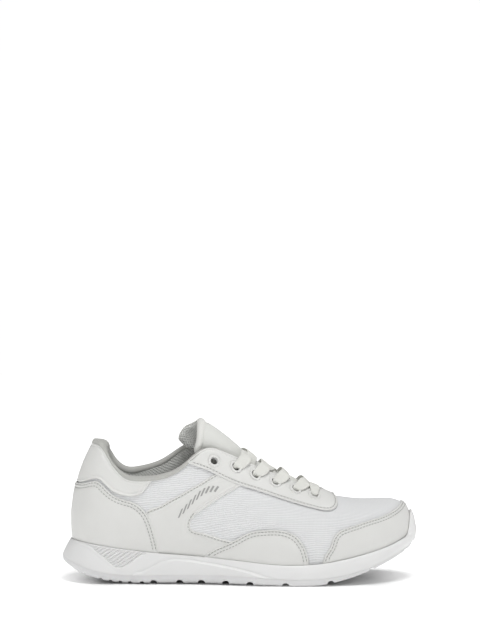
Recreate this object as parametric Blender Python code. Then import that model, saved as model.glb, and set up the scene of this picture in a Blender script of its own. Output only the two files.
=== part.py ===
"""Low-cut running shoe for the right foot.

X runs from heel to toe, -Y is the outer (lateral) side, +Z is up and the
ground is Z = 0.  Lengths in this script are millimetres, meshes are metres.

The upper is described by cross-sections that stand around the last: `s` is the
station around the shoe (equal to X along the sides, and fanned about one centre
in the heel and one in the toe) and `v` is the distance measured down the
surface from the collar and throat edge.  Every layer is an offset of that
surface, so neighbouring layers never touch.
"""
import math

import bmesh
import bpy
import numpy as np
from mathutils import Vector, geometry

MM = 0.001

# Fan centres of the heel and toe sections, and the radius that turns a fan
# angle into station length.
HEEL_X, TOE_X = -106.0, 62.0
HEEL_REF, TOE_REF = 33.0, 50.0
HEEL_END = HEEL_X - HEEL_REF * math.pi / 2
TOE_END = TOE_X + TOE_REF * math.pi / 2

STATION_STEP, TOE_STEP = 11.0, 7.0     # grid pitch of the skins along s
ROWS = (0, 10, 20, 30, 40, 50, 59, 66, 73, 80, 90, 101)     # grid rows along v
EDGE_STEP = 8.5         # longest edge piece of an outline
TUCK = 4.4              # how far the upper runs down inside the sole rim
LOW = 999.0             # stands for "down to the tucked lower edge"
SWING = 7.0             # inward swing of the toe tip
TOE_TIP_X = 143.0

# Depths of the layers below the outer surface (negative is outside).
OVERLAY = (-0.2, 0.9)
MESH = (1.6, 2.4)
STIFFENER = (3.3, 4.3)
LINING_TOP = 2.8
LINING_THICK = 0.8
LAYER_GAP = 0.7

EYELET_RADIUS = 2.8
EYELETS = [(61.8, 10.5), (46, 9.6), (29, 9.5), (12.5, 9.4), (-3.5, 9.6), (-21.5, 11)]

LACE_WIDTH, LACE_THICK = 7.2, 1.0

# X of the fold of the tongue, which is the hinge line of its upper flap.
FOLD_X = -9.5


# ---------------------------------------------------------------- curves

def spline(knots):
    """Natural cubic spline through (x, y) knots, held flat outside them."""
    x = np.array([k[0] for k in knots], float)
    y = np.array([k[1] for k in knots], float)
    h = np.diff(x)
    n = len(x)
    left = np.eye(n)
    right = np.zeros(n)
    left[0, :2] = 2 * h[0], h[0]
    left[-1, -2:] = h[-1], 2 * h[-1]
    right[0] = 6 * (y[1] - y[0]) / h[0]
    right[-1] = -6 * (y[-1] - y[-2]) / h[-1]
    for i in range(1, n - 1):
        left[i, i - 1:i + 2] = h[i - 1], 2 * (h[i - 1] + h[i]), h[i]
        right[i] = 6 * ((y[i + 1] - y[i]) / h[i] - (y[i] - y[i - 1]) / h[i - 1])
    m = np.linalg.solve(left, right)

    def at(t):
        t = np.clip(np.asarray(t, float), x[0], x[-1])
        i = np.clip(np.searchsorted(x, t) - 1, 0, n - 2)
        a, b, w = x[i + 1] - t, t - x[i], h[i]
        bend = (m[i] * a ** 3 + m[i + 1] * b ** 3) / (6 * w)
        return bend + (y[i] / w - m[i] * w / 6) * a + (y[i + 1] / w - m[i + 1] * w / 6) * b

    return at


def smooth(t):
    t = np.clip(t, 0.0, 1.0)
    return t * t * (3 - 2 * t)


def heel_at(degrees):
    """Station of a heel section, 90 degrees being the back of the shoe."""
    return HEEL_X - HEEL_REF * math.radians(degrees)


def toe_at(degrees):
    """Station of a toe section, 90 degrees being the tip of the shoe."""
    return TOE_X + TOE_REF * math.radians(degrees)


# Lower edge of the upper, where it meets the sole.
FEATHER_R = spline([(HEEL_END, 34.4), (heel_at(45), 34), (HEEL_X, 32.5), (-74, 32.8),
                    (-33, 36), (0, 42.5), (33, 47.8), (62, 49), (toe_at(30), 53),
                    (toe_at(60), 67), (toe_at(75), 76), (TOE_END, 81)])
FEATHER_Z = spline([(HEEL_END, 34.1), (heel_at(45), 33.3), (HEEL_X, 29.6), (-74, 25.6),
                    (-33, 22.6), (0, 19.7), (33, 16.9), (62, 17.6), (toe_at(30), 21.8),
                    (toe_at(60), 29.5), (toe_at(75), 35), (TOE_END, 39)])
# Two handles that shape each section between the sole and the top edge.
SIDE_R = spline([(HEEL_END, 38), (HEEL_X, 38), (-74, 38), (-33, 40), (0, 45.5), (33, 51),
                 (62, 52.5), (toe_at(30), 57), (toe_at(60), 71), (TOE_END, 86)])
SIDE_Z = spline([(HEEL_END, 58), (HEEL_X, 53), (-74, 47), (-33, 50), (0, 48), (33, 45),
                 (62, 44), (toe_at(30), 52), (toe_at(60), 68), (TOE_END, 84)])
CREST_R = spline([(HEEL_END, 33.5), (HEEL_X, 31), (-74, 33), (-33, 35), (0, 35), (33, 37),
                  (62, 38), (toe_at(30), 37), (toe_at(60), 43), (TOE_END, 50)])
CREST_Z = spline([(HEEL_END, 88), (HEEL_X, 80), (-74, 68), (-33, 82), (0, 80), (33, 70),
                  (62, 62), (toe_at(30), 64), (toe_at(60), 58.5), (TOE_END, 53.5)])
# Collar and throat edge.
TOP_R = spline([(HEEL_END, 16.6), (heel_at(45), 19), (HEEL_X, 25), (-90, 29), (-74, 30),
                (-56, 29.5), (-40, 27.5), (-27, 25), (0, 21), (33, 16), (62, 11),
                (toe_at(30), 9.5), (toe_at(60), 8.5), (TOE_END, 8)])
TOP_Z = spline([(HEEL_END, 116.5), (heel_at(45), 115.8), (heel_at(20), 112.2),
                (HEEL_X, 99.5), (-96, 89.2), (-86, 86.6), (-74, 87), (-62, 89.3), (-50, 95),
                (-38, 105), (-28, 110.8), (-15, 108.5), (0, 102), (20, 92.6), (40, 84.3),
                (62, 76.5), (toe_at(30), 75), (toe_at(60), 74), (TOE_END, 73.5)])
TOP_Z_INNER_SIDE = spline([(HEEL_END, 116.5), (heel_at(45), 115.8), (heel_at(20), 111),
                           (HEEL_X, 98), (-98, 91.5), (-88, 90.8), (-77, 93), (-64, 98.5),
                           (-52, 106.5), (-43, 110.8), (-30, 110.8), (-15, 108), (0, 102),
                           (20, 92.6), (40, 84.3), (62, 76.5), (toe_at(30), 75),
                           (toe_at(60), 74), (TOE_END, 73.5)])
# The inner (medial) side is narrower at the arch.
INNER_SIDE = spline([(HEEL_END, 1), (HEEL_X, 1), (-74, 0.95), (-33, 0.86), (0, 0.87),
                     (33, 0.92), (62, 0.95), (toe_at(60), 0.97), (TOE_END, 1)])

# Padding between the layers at the collar, by station and by depth down the side.
PAD = spline([(HEEL_END, 8.5), (HEEL_X, 7.5), (-74, 6.5), (-50, 5), (-36, 3), (-22, 0.2), (-16, 0)])
PAD_SHAPE = spline([(0, 0.55), (7, 0.85), (14, 1), (22, 0.9), (34, 0.35), (46, 0.02), (50, 0)])


# Stations shared by every body, closer together round the toe.
BODY_STATIONS = [float(s) for s in np.arange(HEEL_END, TOE_X + 1, STATION_STEP)]
TOE_STATIONS = [float(s) for s in np.arange(TOE_END, TOE_X + 3, -TOE_STEP)]


# ---------------------------------------------------------------- upper surface

def swing(x):
    """Sideways swing of the last toward the big toe."""
    return SWING * (np.clip(x, 0, None) / TOE_TIP_X) ** 2


def sections(side, s):
    """Each section as a polyline of (r, z) from the top edge down, and its lengths."""
    inner = np.where(side > 0, INNER_SIDE(s), 1.0)
    top_z = np.where(side > 0, TOP_Z_INNER_SIDE(s), TOP_Z(s))
    lift = top_z - TOP_Z(s)
    feather = np.stack([FEATHER_R(s) * inner, FEATHER_Z(s)], -1)
    flank = np.stack([SIDE_R(s) * inner, SIDE_Z(s) + 0.1 * lift], -1)
    crest = np.stack([CREST_R(s) * (1 + inner) / 2, CREST_Z(s) + 0.7 * lift], -1)
    top = np.stack([TOP_R(s), top_z], -1)
    t = np.linspace(0, 1, 41)[None, :, None]
    curve = (top[:, None] * (1 - t) ** 3 + 3 * crest[:, None] * (1 - t) ** 2 * t
             + 3 * flank[:, None] * (1 - t) * t ** 2 + feather[:, None] * t ** 3)
    down = feather - flank
    down /= np.linalg.norm(down, axis=1, keepdims=True)
    curve = np.concatenate([curve, (feather + 9 * down)[:, None]], 1)
    pieces = np.linalg.norm(np.diff(curve, axis=1), axis=2)
    length = np.concatenate([np.zeros((len(curve), 1)), np.cumsum(pieces, 1)], 1)
    return curve, length


def station_to_world(side, s, r, z):
    """World position of radius r and height z on the section at station s."""
    centre = np.clip(s, HEEL_X, TOE_X)
    turn = np.abs(s - centre) / np.where(s < centre, HEEL_REF, TOE_REF)
    x = centre + r * np.sin(turn) * np.sign(s - centre)
    return np.stack([x, side * r * np.cos(turn) + swing(x), z], -1)


def place(side, s, v):
    """World points of the upper's surface."""
    side, s, v = np.broadcast_arrays(*(np.atleast_1d(np.asarray(a, float)) for a in (side, s, v)))
    curve, length = sections(side, s)
    row = np.arange(len(s))
    i = np.clip((length <= v[:, None]).sum(1) - 1, 0, length.shape[1] - 2)
    f = (v - length[row, i]) / (length[row, i + 1] - length[row, i])
    rz = curve[row, i] + (curve[row, i + 1] - curve[row, i]) * f[:, None]
    return station_to_world(side, s, rz[:, 0], rz[:, 1])


def normals(side, s, v):
    """Outward normals of the upper's surface."""
    side, s, v = np.broadcast_arrays(*(np.atleast_1d(np.asarray(a, float)) for a in (side, s, v)))
    e = 0.4
    inside = np.clip(s, HEEL_END + e, TOE_END - e)
    along = place(side, inside + e, v) - place(side, inside - e, v)
    down = place(side, inside, v + e) - place(side, inside, v - e)
    n = np.cross(along, down) * side[:, None]
    n[(s < HEEL_END + 0.01) | (s > TOE_END - 0.01), 1] = 0
    return n / np.linalg.norm(n, axis=1, keepdims=True)


def offset(side, s, v, depth):
    """World points `depth` below the upper's surface."""
    return place(side, s, v) - normals(side, s, v) * np.reshape(depth, (-1, 1))


def low(side, s):
    """The v of the tucked lower edge."""
    return sections(np.atleast_1d(float(side)), np.atleast_1d(float(s)))[1][0, -2] + TUCK


def lining_depth(s, v):
    """Depth of the outer face of the lining: it clears the stiffeners and the pad."""
    heel = smooth((-58 - s) / 12)
    toe = smooth((s - 80) / 12) * smooth((v - 40) / 14)
    return LINING_TOP + 2.3 * (heel + toe) + np.clip(PAD(s), 0, None) * np.clip(PAD_SHAPE(v), 0, None)


def lining_inside(s, v):
    return lining_depth(s, v) + LINING_THICK


# ---------------------------------------------------------------- mesh helpers

def material(name, colour, roughness):
    mat = bpy.data.materials.new(name)
    mat.use_nodes = True
    shader = mat.node_tree.nodes["Principled BSDF"]
    shader.inputs["Base Color"].default_value = (*colour, 1)
    shader.inputs["Roughness"].default_value = roughness
    return mat


def finish_object(name, bm, look, pivot=(0, 0, 0)):
    """Make an object of a bmesh given in millimetres, with its origin at the pivot."""
    bmesh.ops.remove_doubles(bm, verts=bm.verts, dist=0.02)
    bmesh.ops.recalc_face_normals(bm, faces=bm.faces)
    for vert in bm.verts:
        vert.co = (vert.co - Vector(pivot)) * MM
    for face in bm.faces:
        face.smooth = True
    mesh = bpy.data.meshes.new(name)
    bm.to_mesh(mesh)
    bm.free()
    mesh.materials.append(material("mat_" + name, *look))
    obj = bpy.data.objects.new(name, mesh)
    obj.location = Vector(pivot) * MM
    bpy.context.collection.objects.link(obj)
    return obj


def resample(points, step):
    """Closed outline with no edge longer than `step`."""
    dense = []
    for a, b in zip(points, points[1:] + points[:1]):
        count = max(1, math.ceil(math.dist(a, b) / step))
        dense += [(a[0] + (b[0] - a[0]) * k / count, a[1] + (b[1] - a[1]) * k / count)
                  for k in range(count)]
    return dense


def inside_outline(points, outline):
    """Even-odd test of many points against one closed outline."""
    x, y = points[:, 0], points[:, 1]
    hit = np.zeros(len(points), bool)
    for (x0, y0), (x1, y1) in zip(outline, outline[1:] + outline[:1]):
        if y0 != y1:
            crosses = (y0 > y) != (y1 > y)
            hit ^= crosses & (x < (x1 - x0) * (y - y0) / (y1 - y0) + x0)
    return hit


def outline_distance(points, outline):
    best = np.full(len(points), 1e9)
    for a, b in zip(outline, outline[1:] + outline[:1]):
        a, b = np.array(a), np.array(b)
        t = np.clip(((points - a) @ (b - a)) / max((b - a) @ (b - a), 1e-9), 0, 1)
        best = np.minimum(best, np.linalg.norm(points - a - t[:, None] * (b - a), axis=1))
    return best


def flat_mesh(outline, holes, grid):
    """Triangles of a flat outline with holes, using the grid points well inside it."""
    clear = inside_outline(grid, outline) & (outline_distance(grid, outline) > 2.6)
    for hole in holes:
        clear &= ~inside_outline(grid, hole) & (outline_distance(grid, hole) > 2.0)
    points, edges = [], []
    for ring in [outline, *holes]:
        start = len(points)
        points += [Vector(p) for p in ring]
        edges += [(start + k, start + (k + 1) % len(ring)) for k in range(len(ring))]
    points += [Vector(p) for p in grid[clear]]
    verts, _, faces = geometry.delaunay_2d_cdt(points, edges, [], 1, 1e-4)[:3]
    flat = np.array([tuple(v) for v in verts])
    middle = np.array([flat[list(f)].mean(0) for f in faces])
    keep = inside_outline(middle, outline)
    for hole in holes:
        keep &= ~inside_outline(middle, hole)
    return flat, [f for f, ok in zip(faces, keep) if ok]


def slab(outer, inner, faces):
    """Closed body between two copies of one triangulation."""
    bm = bmesh.new()
    top = [bm.verts.new(p) for p in outer]
    bottom = [bm.verts.new(p) for p in inner]
    count = {}
    for face in faces:
        bm.faces.new([top[i] for i in face])
        bm.faces.new([bottom[i] for i in reversed(face)])
        for a, b in zip(face, face[1:] + face[:1]):
            count[(a, b)] = count.get((a, b), 0) + 1
    for a, b in count:
        if (b, a) not in count:
            bm.faces.new([top[b], top[a], bottom[a], bottom[b]])
    return bm


def layer_depth(depth, s, v):
    return depth(s, v) if callable(depth) else np.full(len(s), float(depth))


def skin_grid(s_end):
    """Grid points shared by all the skins, thinned where the toe fan is narrow."""
    points = [(s, v) for s in BODY_STATIONS for v in ROWS]
    points += [(s, v) for k, s in enumerate(TOE_STATIONS) for v in ROWS if v > 45 or k % 2 == 0]
    return np.array([(c, v) for s, v in points for c in {s - s_end, s_end - s}], float)


def skin(name, look, outline, depths, about="heel", holes=()):
    """A closed sheet of the upper.

    The outline is in (c, v): c counts stations from the heel or toe centre line,
    negative on the outer side, so that a piece may cross that line.
    """
    s_end = HEEL_END if about == "heel" else TOE_END
    outline = resample(list(outline), EDGE_STEP)
    flat, faces = flat_mesh(outline, [list(h) for h in holes], skin_grid(s_end))
    side = np.where(flat[:, 0] < 0, -1.0, 1.0)
    s = s_end + np.abs(flat[:, 0]) * (1 if about == "heel" else -1)
    outer = offset(side, s, flat[:, 1], layer_depth(depths[0], s, flat[:, 1]))
    inner = offset(side, s, flat[:, 1], layer_depth(depths[1], s, flat[:, 1]))
    return finish_object(name, slab(outer, inner, [list(f) for f in faces]), look)


def on_side(points, side, about="heel"):
    """(s, v) points as (c, v) on one side, following the lower edge where v is LOW."""
    result = []
    previous = None
    for s, v in points:
        if v == LOW and previous is not None and previous[1] == LOW:
            count = max(1, math.ceil(abs(s - previous[0]) / EDGE_STEP))
            for k in range(1, count):
                mid = previous[0] + (s - previous[0]) * k / count
                result.append((mid, low(side, mid)))
        result.append((s, low(side, s) if v == LOW else v))
        previous = (s, v)
    sign = side * (1 if about == "heel" else -1)
    end = HEEL_END if about == "heel" else TOE_END
    return [(sign * (s - end), v) for s, v in result]


def across(points, about):
    """Outline of a piece that crosses the centre line; points run end to end on one side."""
    outer = on_side(points, -1, about)
    inner = on_side(points, 1, about)
    return outer + [p for p in reversed(inner) if abs(p[0]) > 0.01]


def eyelet_holes(pairs, about):
    """Octagonal holes for the given eyelet pairs, on both sides."""
    holes = []
    for side in (-1, 1):
        for s, v in pairs:
            ring = [(s + EYELET_RADIUS * 0.95 * math.cos(a), v + EYELET_RADIUS * math.sin(a))
                    for a in np.arange(8) * math.pi / 4]
            ring = [(fan_out(a), b) for a, b in ring]
            holes.append(on_side(ring, side, about))
    return holes


def around_body(name, look, rows, pivot=(0, 0, 0)):
    """Closed body whose radial rows run around the shoe and close on its centre line.

    rows(side, s) gives (r, z) pairs, z being a height or a function of X; the first
    and last rows have r = 0.
    """
    stations = [*BODY_STATIONS, *reversed(TOE_STATIONS)]
    loop = [(-1, s) for s in stations] + [(1, s) for s in stations[-2:0:-1]]
    bm = bmesh.new()
    rings = []
    for side, s in loop:
        ring = []
        for r, z in rows(side, s):
            point = station_to_world(float(side), float(s), float(r), 0.0)
            point[2] = z(point[0]) if callable(z) else z
            ring.append(bm.verts.new(point))
        rings.append(ring)
    for a, b in zip(rings, rings[1:] + rings[:1]):
        for k in range(len(a) - 1):
            bm.faces.new([a[k], a[k + 1], b[k + 1], b[k]])
    bmesh.ops.remove_doubles(bm, verts=bm.verts, dist=0.02)
    bmesh.ops.triangulate(bm, faces=[f for f in bm.faces if len(f.verts) > 3])
    return finish_object(name, bm, look, pivot)


def tube(name, look, frames, corners):
    """Solid strip through frames of (point, up, across) with a polygon section."""
    bm = bmesh.new()
    rings = []
    for point, up, wide, width, thick in frames:
        rings.append([bm.verts.new(point + wide * (a * width) + up * (b * thick)) for a, b in corners])
    for a, b in zip(rings, rings[1:]):
        for k in range(len(corners)):
            j = (k + 1) % len(corners)
            bm.faces.new([a[k], a[j], b[j], b[k]])
    bm.faces.new(rings[0])
    bm.faces.new(list(reversed(rings[-1])))
    bmesh.ops.triangulate(bm, faces=bm.faces)
    return finish_object(name, bm, look)


# ---------------------------------------------------------------- sole

TREAD_FLAT = (-85.0, 60.0)      # the ground contact runs between these X
BUMPER_START = toe_at(77)       # from here the rim rises into the toe bumper
BUMPER_RISE = 18.0
EDGE_LIFT = spline([(-149, 2), (-74, 2.3), (-33, 3), (8, 2.3), (33, 0.7), (49, 0.3),
                    (65, 0.8), (90, 0.6), (124, 0.1), (149, 0)])
FOOTBED = spline([(-145, 26.4), (-125, 25.6), (-106, 22.4), (-74, 18.5), (-33, 15.5), (0, 12.6),
                  (33, 9.8), (62, 10.4), (90, 14.6), (110, 19), (130, 25), (148, 32.5)])
FLARE = spline([(HEEL_END, 8.8), (HEEL_X, 7), (-74, 5.6), (-33, 4.2), (0, 4.4), (33, 4.8),
                (62, 4.8), (toe_at(30), 4.6), (toe_at(60), 3.6), (TOE_END, 2.6)])
BULGE = spline([(HEEL_END, 6), (HEEL_X, 4.8), (-33, 3.4), (33, 4), (62, 4.2),
                (toe_at(60), 4.6), (TOE_END, 6)])


def ground(x):
    """Height of the underside on the centre: flat, with a heel bevel and a toe spring."""
    heel = 0.0034 * max(0.0, TREAD_FLAT[0] - x) ** 2
    toe = 0.0225 * max(0.0, x - TREAD_FLAT[1]) ** 1.6
    return heel + toe


def tread_top(x):
    return ground(x) + 5 - 2 * float(smooth((x - 60) / 50))


def feather(side, s):
    inner = float(INNER_SIDE(s)) if side > 0 else 1.0
    return float(FEATHER_R(s)) * inner, float(FEATHER_Z(s))


def rim(side, s):
    """Inner radius and top height of the sole's rim, which rises over the toe tip."""
    r, z = feather(side, s)
    top = z + BUMPER_RISE * float(smooth((s - BUMPER_START) / (TOE_END - BUMPER_START)))
    curve = sections(np.array([float(side)]), np.array([float(s)]))[0][0]
    below = curve[curve[:, 1] < top + 1, 0]
    return max(r, below.max()) + 0.6, top


def deck(r, z):
    """Inner rows shared by every flat layer of the sole, so that they stay parallel."""
    return [(0, z), (0.4 * r, z), (0.7 * r, z), (0.85 * r, z)]


def midsole_rows(side, s):
    r, z = feather(side, s)
    wall, top = rim(side, s)
    edge = r + float(FLARE(s))
    floor = deck(r, FOOTBED)
    below = list(reversed(deck(r, lambda x: tread_top(x) + 0.3)))
    return floor + [(wall, FOOTBED), (wall, top), (wall + 1.4, top),
            (max(wall + 1.4, r + float(BULGE(s))), lambda x: 0.45 * z + 0.55 * tread_top(x) + 2),
            (edge, lambda x: tread_top(x) + float(EDGE_LIFT(x)) + 0.3),
            (edge - 8, lambda x: tread_top(x) + 0.3)] + below


def outsole_rows(side, s):
    r = feather(side, s)[0]
    edge = r + float(FLARE(s))
    side_rows = [(edge - 8, tread_top),
                 (edge, lambda x: tread_top(x) + float(EDGE_LIFT(x))),
                 (edge - 0.2, lambda x: ground(x) + float(EDGE_LIFT(x)) + 0.8),
                 (edge - 2.4, lambda x: ground(x) + 0.55 * float(EDGE_LIFT(x))),
                 (edge - 8, ground)]
    return deck(r, tread_top) + side_rows + list(reversed(deck(r, ground)))


def board_rows(side, s):
    r = feather(side, s)[0]
    top = deck(r, lambda x: FOOTBED(x) + 1.7) + [(r + 0.1, lambda x: FOOTBED(x) + 1.7)]
    bottom = deck(r, lambda x: FOOTBED(x) + 0.35) + [(r + 0.1, lambda x: FOOTBED(x) + 0.35)]
    return top + list(reversed(bottom))


def sockliner_rows(side, s):
    r = feather(side, s)[0]
    edge = r - float(lining_inside(s, low(side, s))) - 1.6
    top = [(min(a, edge - 1), z) for a, z in deck(r, lambda x: FOOTBED(x) + 5.6)]
    bottom = [(min(a, edge - 1), z) for a, z in deck(r, lambda x: FOOTBED(x) + 2.3)]
    wall = [(edge, lambda x: FOOTBED(x) + 7.2), (edge - 0.4, lambda x: FOOTBED(x) + 2.4)]
    return top + wall + list(reversed(bottom))


# Tread grooves: X, radius.  The wide ones run right across the forefoot and waist.
GROOVES = [(-70.5, 2.2), (-49, 2.2), (-31, 2.2), (-11, 2.2), (9, 2.2), (38, 2.2), (75, 2.0),
           (109, 1.4), (-129, 1.2), (-114, 1.2), (-106, 1.2), (-98, 1.2), (-90, 1.2), (-80, 1.2)]


def add_grooves(outsole):
    """Cut the tread grooves; each is half a round bar laid across the underside."""
    bm = bmesh.new()
    for x, radius in GROOVES:
        z = ground(x) + 0.5 * float(EDGE_LIFT(x))
        ends = [[bm.verts.new((x + radius * math.cos(a), y, z + radius * math.sin(a)))
                 for a in np.arange(8) * math.pi / 4] for y in (-70, 70)]
        for k in range(8):
            j = (k + 1) % 8
            bm.faces.new([ends[0][k], ends[0][j], ends[1][j], ends[1][k]])
        bm.faces.new(list(reversed(ends[0])))
        bm.faces.new(ends[1])
    cutter = finish_object("groove_cutter", bm, ((0.5, 0.5, 0.5), 0.5))
    cutter.hide_render = True
    cutter.display_type = "WIRE"
    cut = outsole.modifiers.new("grooves", "BOOLEAN")
    cut.operation = "DIFFERENCE"
    cut.solver = "EXACT"
    cut.object = cutter


def sockliner_pivot():
    """The sockliner lifts about the lower edge of its toe end."""
    reach = sockliner_rows(-1, TOE_END)[5][0]
    x = TOE_X + reach
    return x, float(swing(x)), float(FOOTBED(x)) + 2.1


def build_sole():
    rubber = ((0.9, 0.9, 0.9), 0.6)
    outsole = around_body("outsole", rubber, outsole_rows)
    add_grooves(outsole)
    around_body("midsole", ((0.93, 0.93, 0.93), 0.55), midsole_rows)
    around_body("strobel_board", ((0.8, 0.78, 0.72), 0.9), board_rows)
    around_body("sockliner", ((0.75, 0.76, 0.78), 0.9), sockliner_rows, sockliner_pivot())


# ---------------------------------------------------------------- upper

EYESTAY_EDGE = [(-44, 1), (-35, 12), (-21.5, 21.5), (1, 24), (17, 23), (34, 24), (50, 25), (69, 28),
                (78, 30), (84, 30), (90, 27.7), (95, 24), (101, 19.5), (110, 14.7), (125, 11.2),
                (TOE_END, 10.3)]
TOE_CAP_EDGE = [(TOE_END, 68), (133, 67), (127, 65), (117, 59.5), (104, 53), (96, 51.3), (88, 50.5),
                (83, 51), (78, 54), (74, 62), (69, 70), (67, LOW)]
FOREFOOT_EDGE = [(-33, LOW), (-16, 80), (0, 67), (8, 60.4), (16, 56.3), (25, 53.5), (33, 52),
                 (41, 52.6), (46, 54.5), (50, 58.3), (55, 68), (57, LOW)]
SADDLE_EDGE = [(-65, LOW), (-67.4, 57), (-69.5, 48), (-73, 36), (-76, 30.4), (-75, 26.6),
               (-66, 24.6), (-58, 22.6), (-49, 22.8), (-41, 25.2), (-33, 27), (-26, 25.4),
               (-21, 22.3), (0, 24.6), (-8, 32.6), (-16.5, 40.5), (-25, 47.8), (-33, 50.5),
               (-39, 50.6), (-41, 54), (-39.5, 60.4), (-33, 67.7), (-25, 73), (-16.5, 73.3),
               (-3, 69), (-16.6, 79.4), (-34.5, LOW)]
HEEL_EDGE = [(HEEL_END, 38.7), (-141, 37.7), (-128, 34.6), (-117, 30.4), (-107, 27.4), (-99, 22.5),
             (-91, 20), (-84, 22.7), (-77, 30), (-74, 36), (-70.3, 48), (-68.2, 57), (-66, LOW)]
PANEL_EDGE = [(HEEL_END, 38), (-141, 36.7), (-126, 32), (-117, 28.6), (-107, 25.2), (-101, 21),
              (-95, 17.3), (-89, 15.6), (-84, 14.3), (-80, 12), (-77, 8.5), (-74, 4.4), (-73, 2.6)]


def fan_out(s, radius=20.0):
    """Station of a point a true distance past the toe centre, at the given radius."""
    return s if s < TOE_X else TOE_X + (s - TOE_X) * TOE_REF / radius


def edge_run(start, stop, v):
    """Points at a constant v between two stations."""
    count = max(1, round(abs(stop - start) / EDGE_STEP))
    return [(start + (stop - start) * k / count, v) for k in range(count + 1)]


def build_overlays():
    leather = ((0.86, 0.85, 0.83), 0.5)
    eyestay = EYESTAY_EDGE + edge_run(TOE_END, -44, 0)[:-1]
    skin("eyestay", leather, across(reorder(eyestay, TOE_END), "toe"), OVERLAY, "toe",
         eyelet_holes(EYELETS, "toe"))
    skin("toe_cap", leather, across(TOE_CAP_EDGE + [(TOE_END, LOW)], "toe"), OVERLAY, "toe")
    skin("heel_overlay", leather, across(HEEL_EDGE + [(HEEL_END, LOW)], "heel"), OVERLAY)
    panel = PANEL_EDGE + edge_run(-73, HEEL_END, 2.0)
    skin("collar_panel", leather, across(panel, "heel"), OVERLAY)
    for side, tag in ((-1, "lateral"), (1, "medial")):
        skin("forefoot_overlay_" + tag, leather, on_side(FOREFOOT_EDGE + [(-33, LOW)], side)[:-1],
             OVERLAY)
        skin("saddle_" + tag, leather, on_side(SADDLE_EDGE + [(-65, LOW)], side)[:-1], OVERLAY)


def reorder(points, centre):
    """Start a closed half outline at its first point on the centre line."""
    first = next(k for k, p in enumerate(points) if abs(p[0] - centre) < 0.01)
    second = first + 1
    return points[second:] + points[:second]


def build_base():
    mesh = ((0.88, 0.89, 0.91), 0.85)
    vamp = [(TOE_END, 1)] + edge_run(TOE_END, -10, 1)[1:]
    vamp += [(-10, 26), (-30, 38), (-50, 52), (-58, LOW), (TOE_END, LOW)]
    skin("vamp_mesh", mesh, across(vamp, "toe"), MESH, "toe", eyelet_holes(EYELETS[:5], "toe"))
    quarter = edge_run(-90, -11.2, 1) + [(-11.2, 25.4), (-31.2, 37.2), (-51.2, 51.2), (-59.4, LOW)]
    quarter += [(-90, LOW)]
    for side, tag in ((-1, "lateral"), (1, "medial")):
        hole = eyelet_holes(EYELETS[5:], "heel")[0 if side < 0 else 1]
        skin("quarter_mesh_" + tag, mesh, on_side(quarter, side), MESH, "heel", [hole])
    counter = [(HEEL_END, 44), (-100, 44), (-84, 49), (-76, 58), (-74, LOW), (HEEL_END, LOW)]
    skin("heel_counter", ((0.7, 0.7, 0.66), 0.6), across(counter, "heel"), STIFFENER)
    puff = [(TOE_END, 81), (118, 73), (103, 66), (98, 70), (97, LOW), (TOE_END, LOW)]
    skin("toe_puff", ((0.7, 0.7, 0.66), 0.6), across(puff, "toe"), STIFFENER, "toe")


def foam_inside(s, v):
    return lining_depth(s, v) - LAYER_GAP


def build_inside():
    foam = edge_run(HEEL_END, -39, 1.2) + [(-39, 20), (-58, 30), (-84, 38), (HEEL_END, 40)]
    skin("collar_foam", ((0.9, 0.88, 0.8), 0.9), across(foam, "heel"), (2.8, foam_inside))
    cloth = ((0.62, 0.64, 0.67), 0.95)
    collar = edge_run(HEEL_END, -36, 1.0) + [(-36, LOW), (HEEL_END, LOW)]
    skin("collar_lining", cloth, across(collar, "heel"), (lining_depth, lining_inside))
    vamp = edge_run(TOE_END, -35.4, 0.4) + [(-35.4, LOW), (TOE_END, LOW)]
    skin("vamp_lining", cloth, across(vamp, "toe"), (lining_depth, lining_inside), "toe",
         eyelet_holes(EYELETS, "toe"))


def build_collar_binding():
    """A soft bead that caps the collar edge from one facing round to the other."""
    count = 56
    reach = -46 - HEEL_END
    frames = []
    for k in range(-count, count + 1):
        side = -1.0 if k < 0 else 1.0
        s = HEEL_END + reach * abs(k) / count
        thick = float(lining_inside(s, 0.0)) - 1.6
        top = offset(side, s, 0.0, 1.6 + thick / 2)[0]
        outward = normals(side, s, 0.0)[0]
        up = place(side, s, 0.0)[0] - place(side, s, 1.0)[0]
        up -= outward * (up @ outward)
        up /= np.linalg.norm(up)
        frames.append((top + up * 0.8, up, outward, thick / 2, 2.2))
    corners = [(-1, 0), (1, 0), (0.95, 0.6), (0.5, 0.95), (-0.5, 0.95), (-0.95, 0.6)]
    tube("collar_binding", ((0.84, 0.84, 0.84), 0.8), frames, corners)


# ---------------------------------------------------------------- tongue

TONGUE_LINE = [(80, 63.4), (70, 67.4), (62, 71), (52, 77), (44, 81.3), (33, 86.8), (22, 92.8),
               (15, 97.4), (8.4, 102.2), (0, 109.4), (-7, 115.6), (-15, 121.9), (-25, 129), (-33, 134.5),
               (-42, 140.5)]
TONGUE_RADIUS = spline([(-33, 21), (-20, 18.6), (FOLD_X, 16.4), (0, 15.4), (33, 15), (50, 16.4),
                        (62, 20), (80, 28)])
TONGUE_FOAM = spline([(-33, 4), (30, 4), (55, 2.4), (80, 1.2)])


def tongue_line():
    """Dense centre line of the tongue's face from front to top, with lengths."""
    knots = np.array(TONGUE_LINE, float)
    height = spline(sorted((x, z) for x, z in TONGUE_LINE))
    x = np.linspace(knots[0, 0], knots[-1, 0], 240)
    line = np.stack([x, height(x)], -1)
    length = np.concatenate([[0], np.cumsum(np.linalg.norm(np.diff(line, axis=0), axis=1))])
    return line, length


LINE, LINE_LENGTH = tongue_line()


def tongue_u(x):
    """Length along the tongue at which its centre line passes X."""
    return float(np.interp(-x, -LINE[:, 0], LINE_LENGTH))


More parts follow.
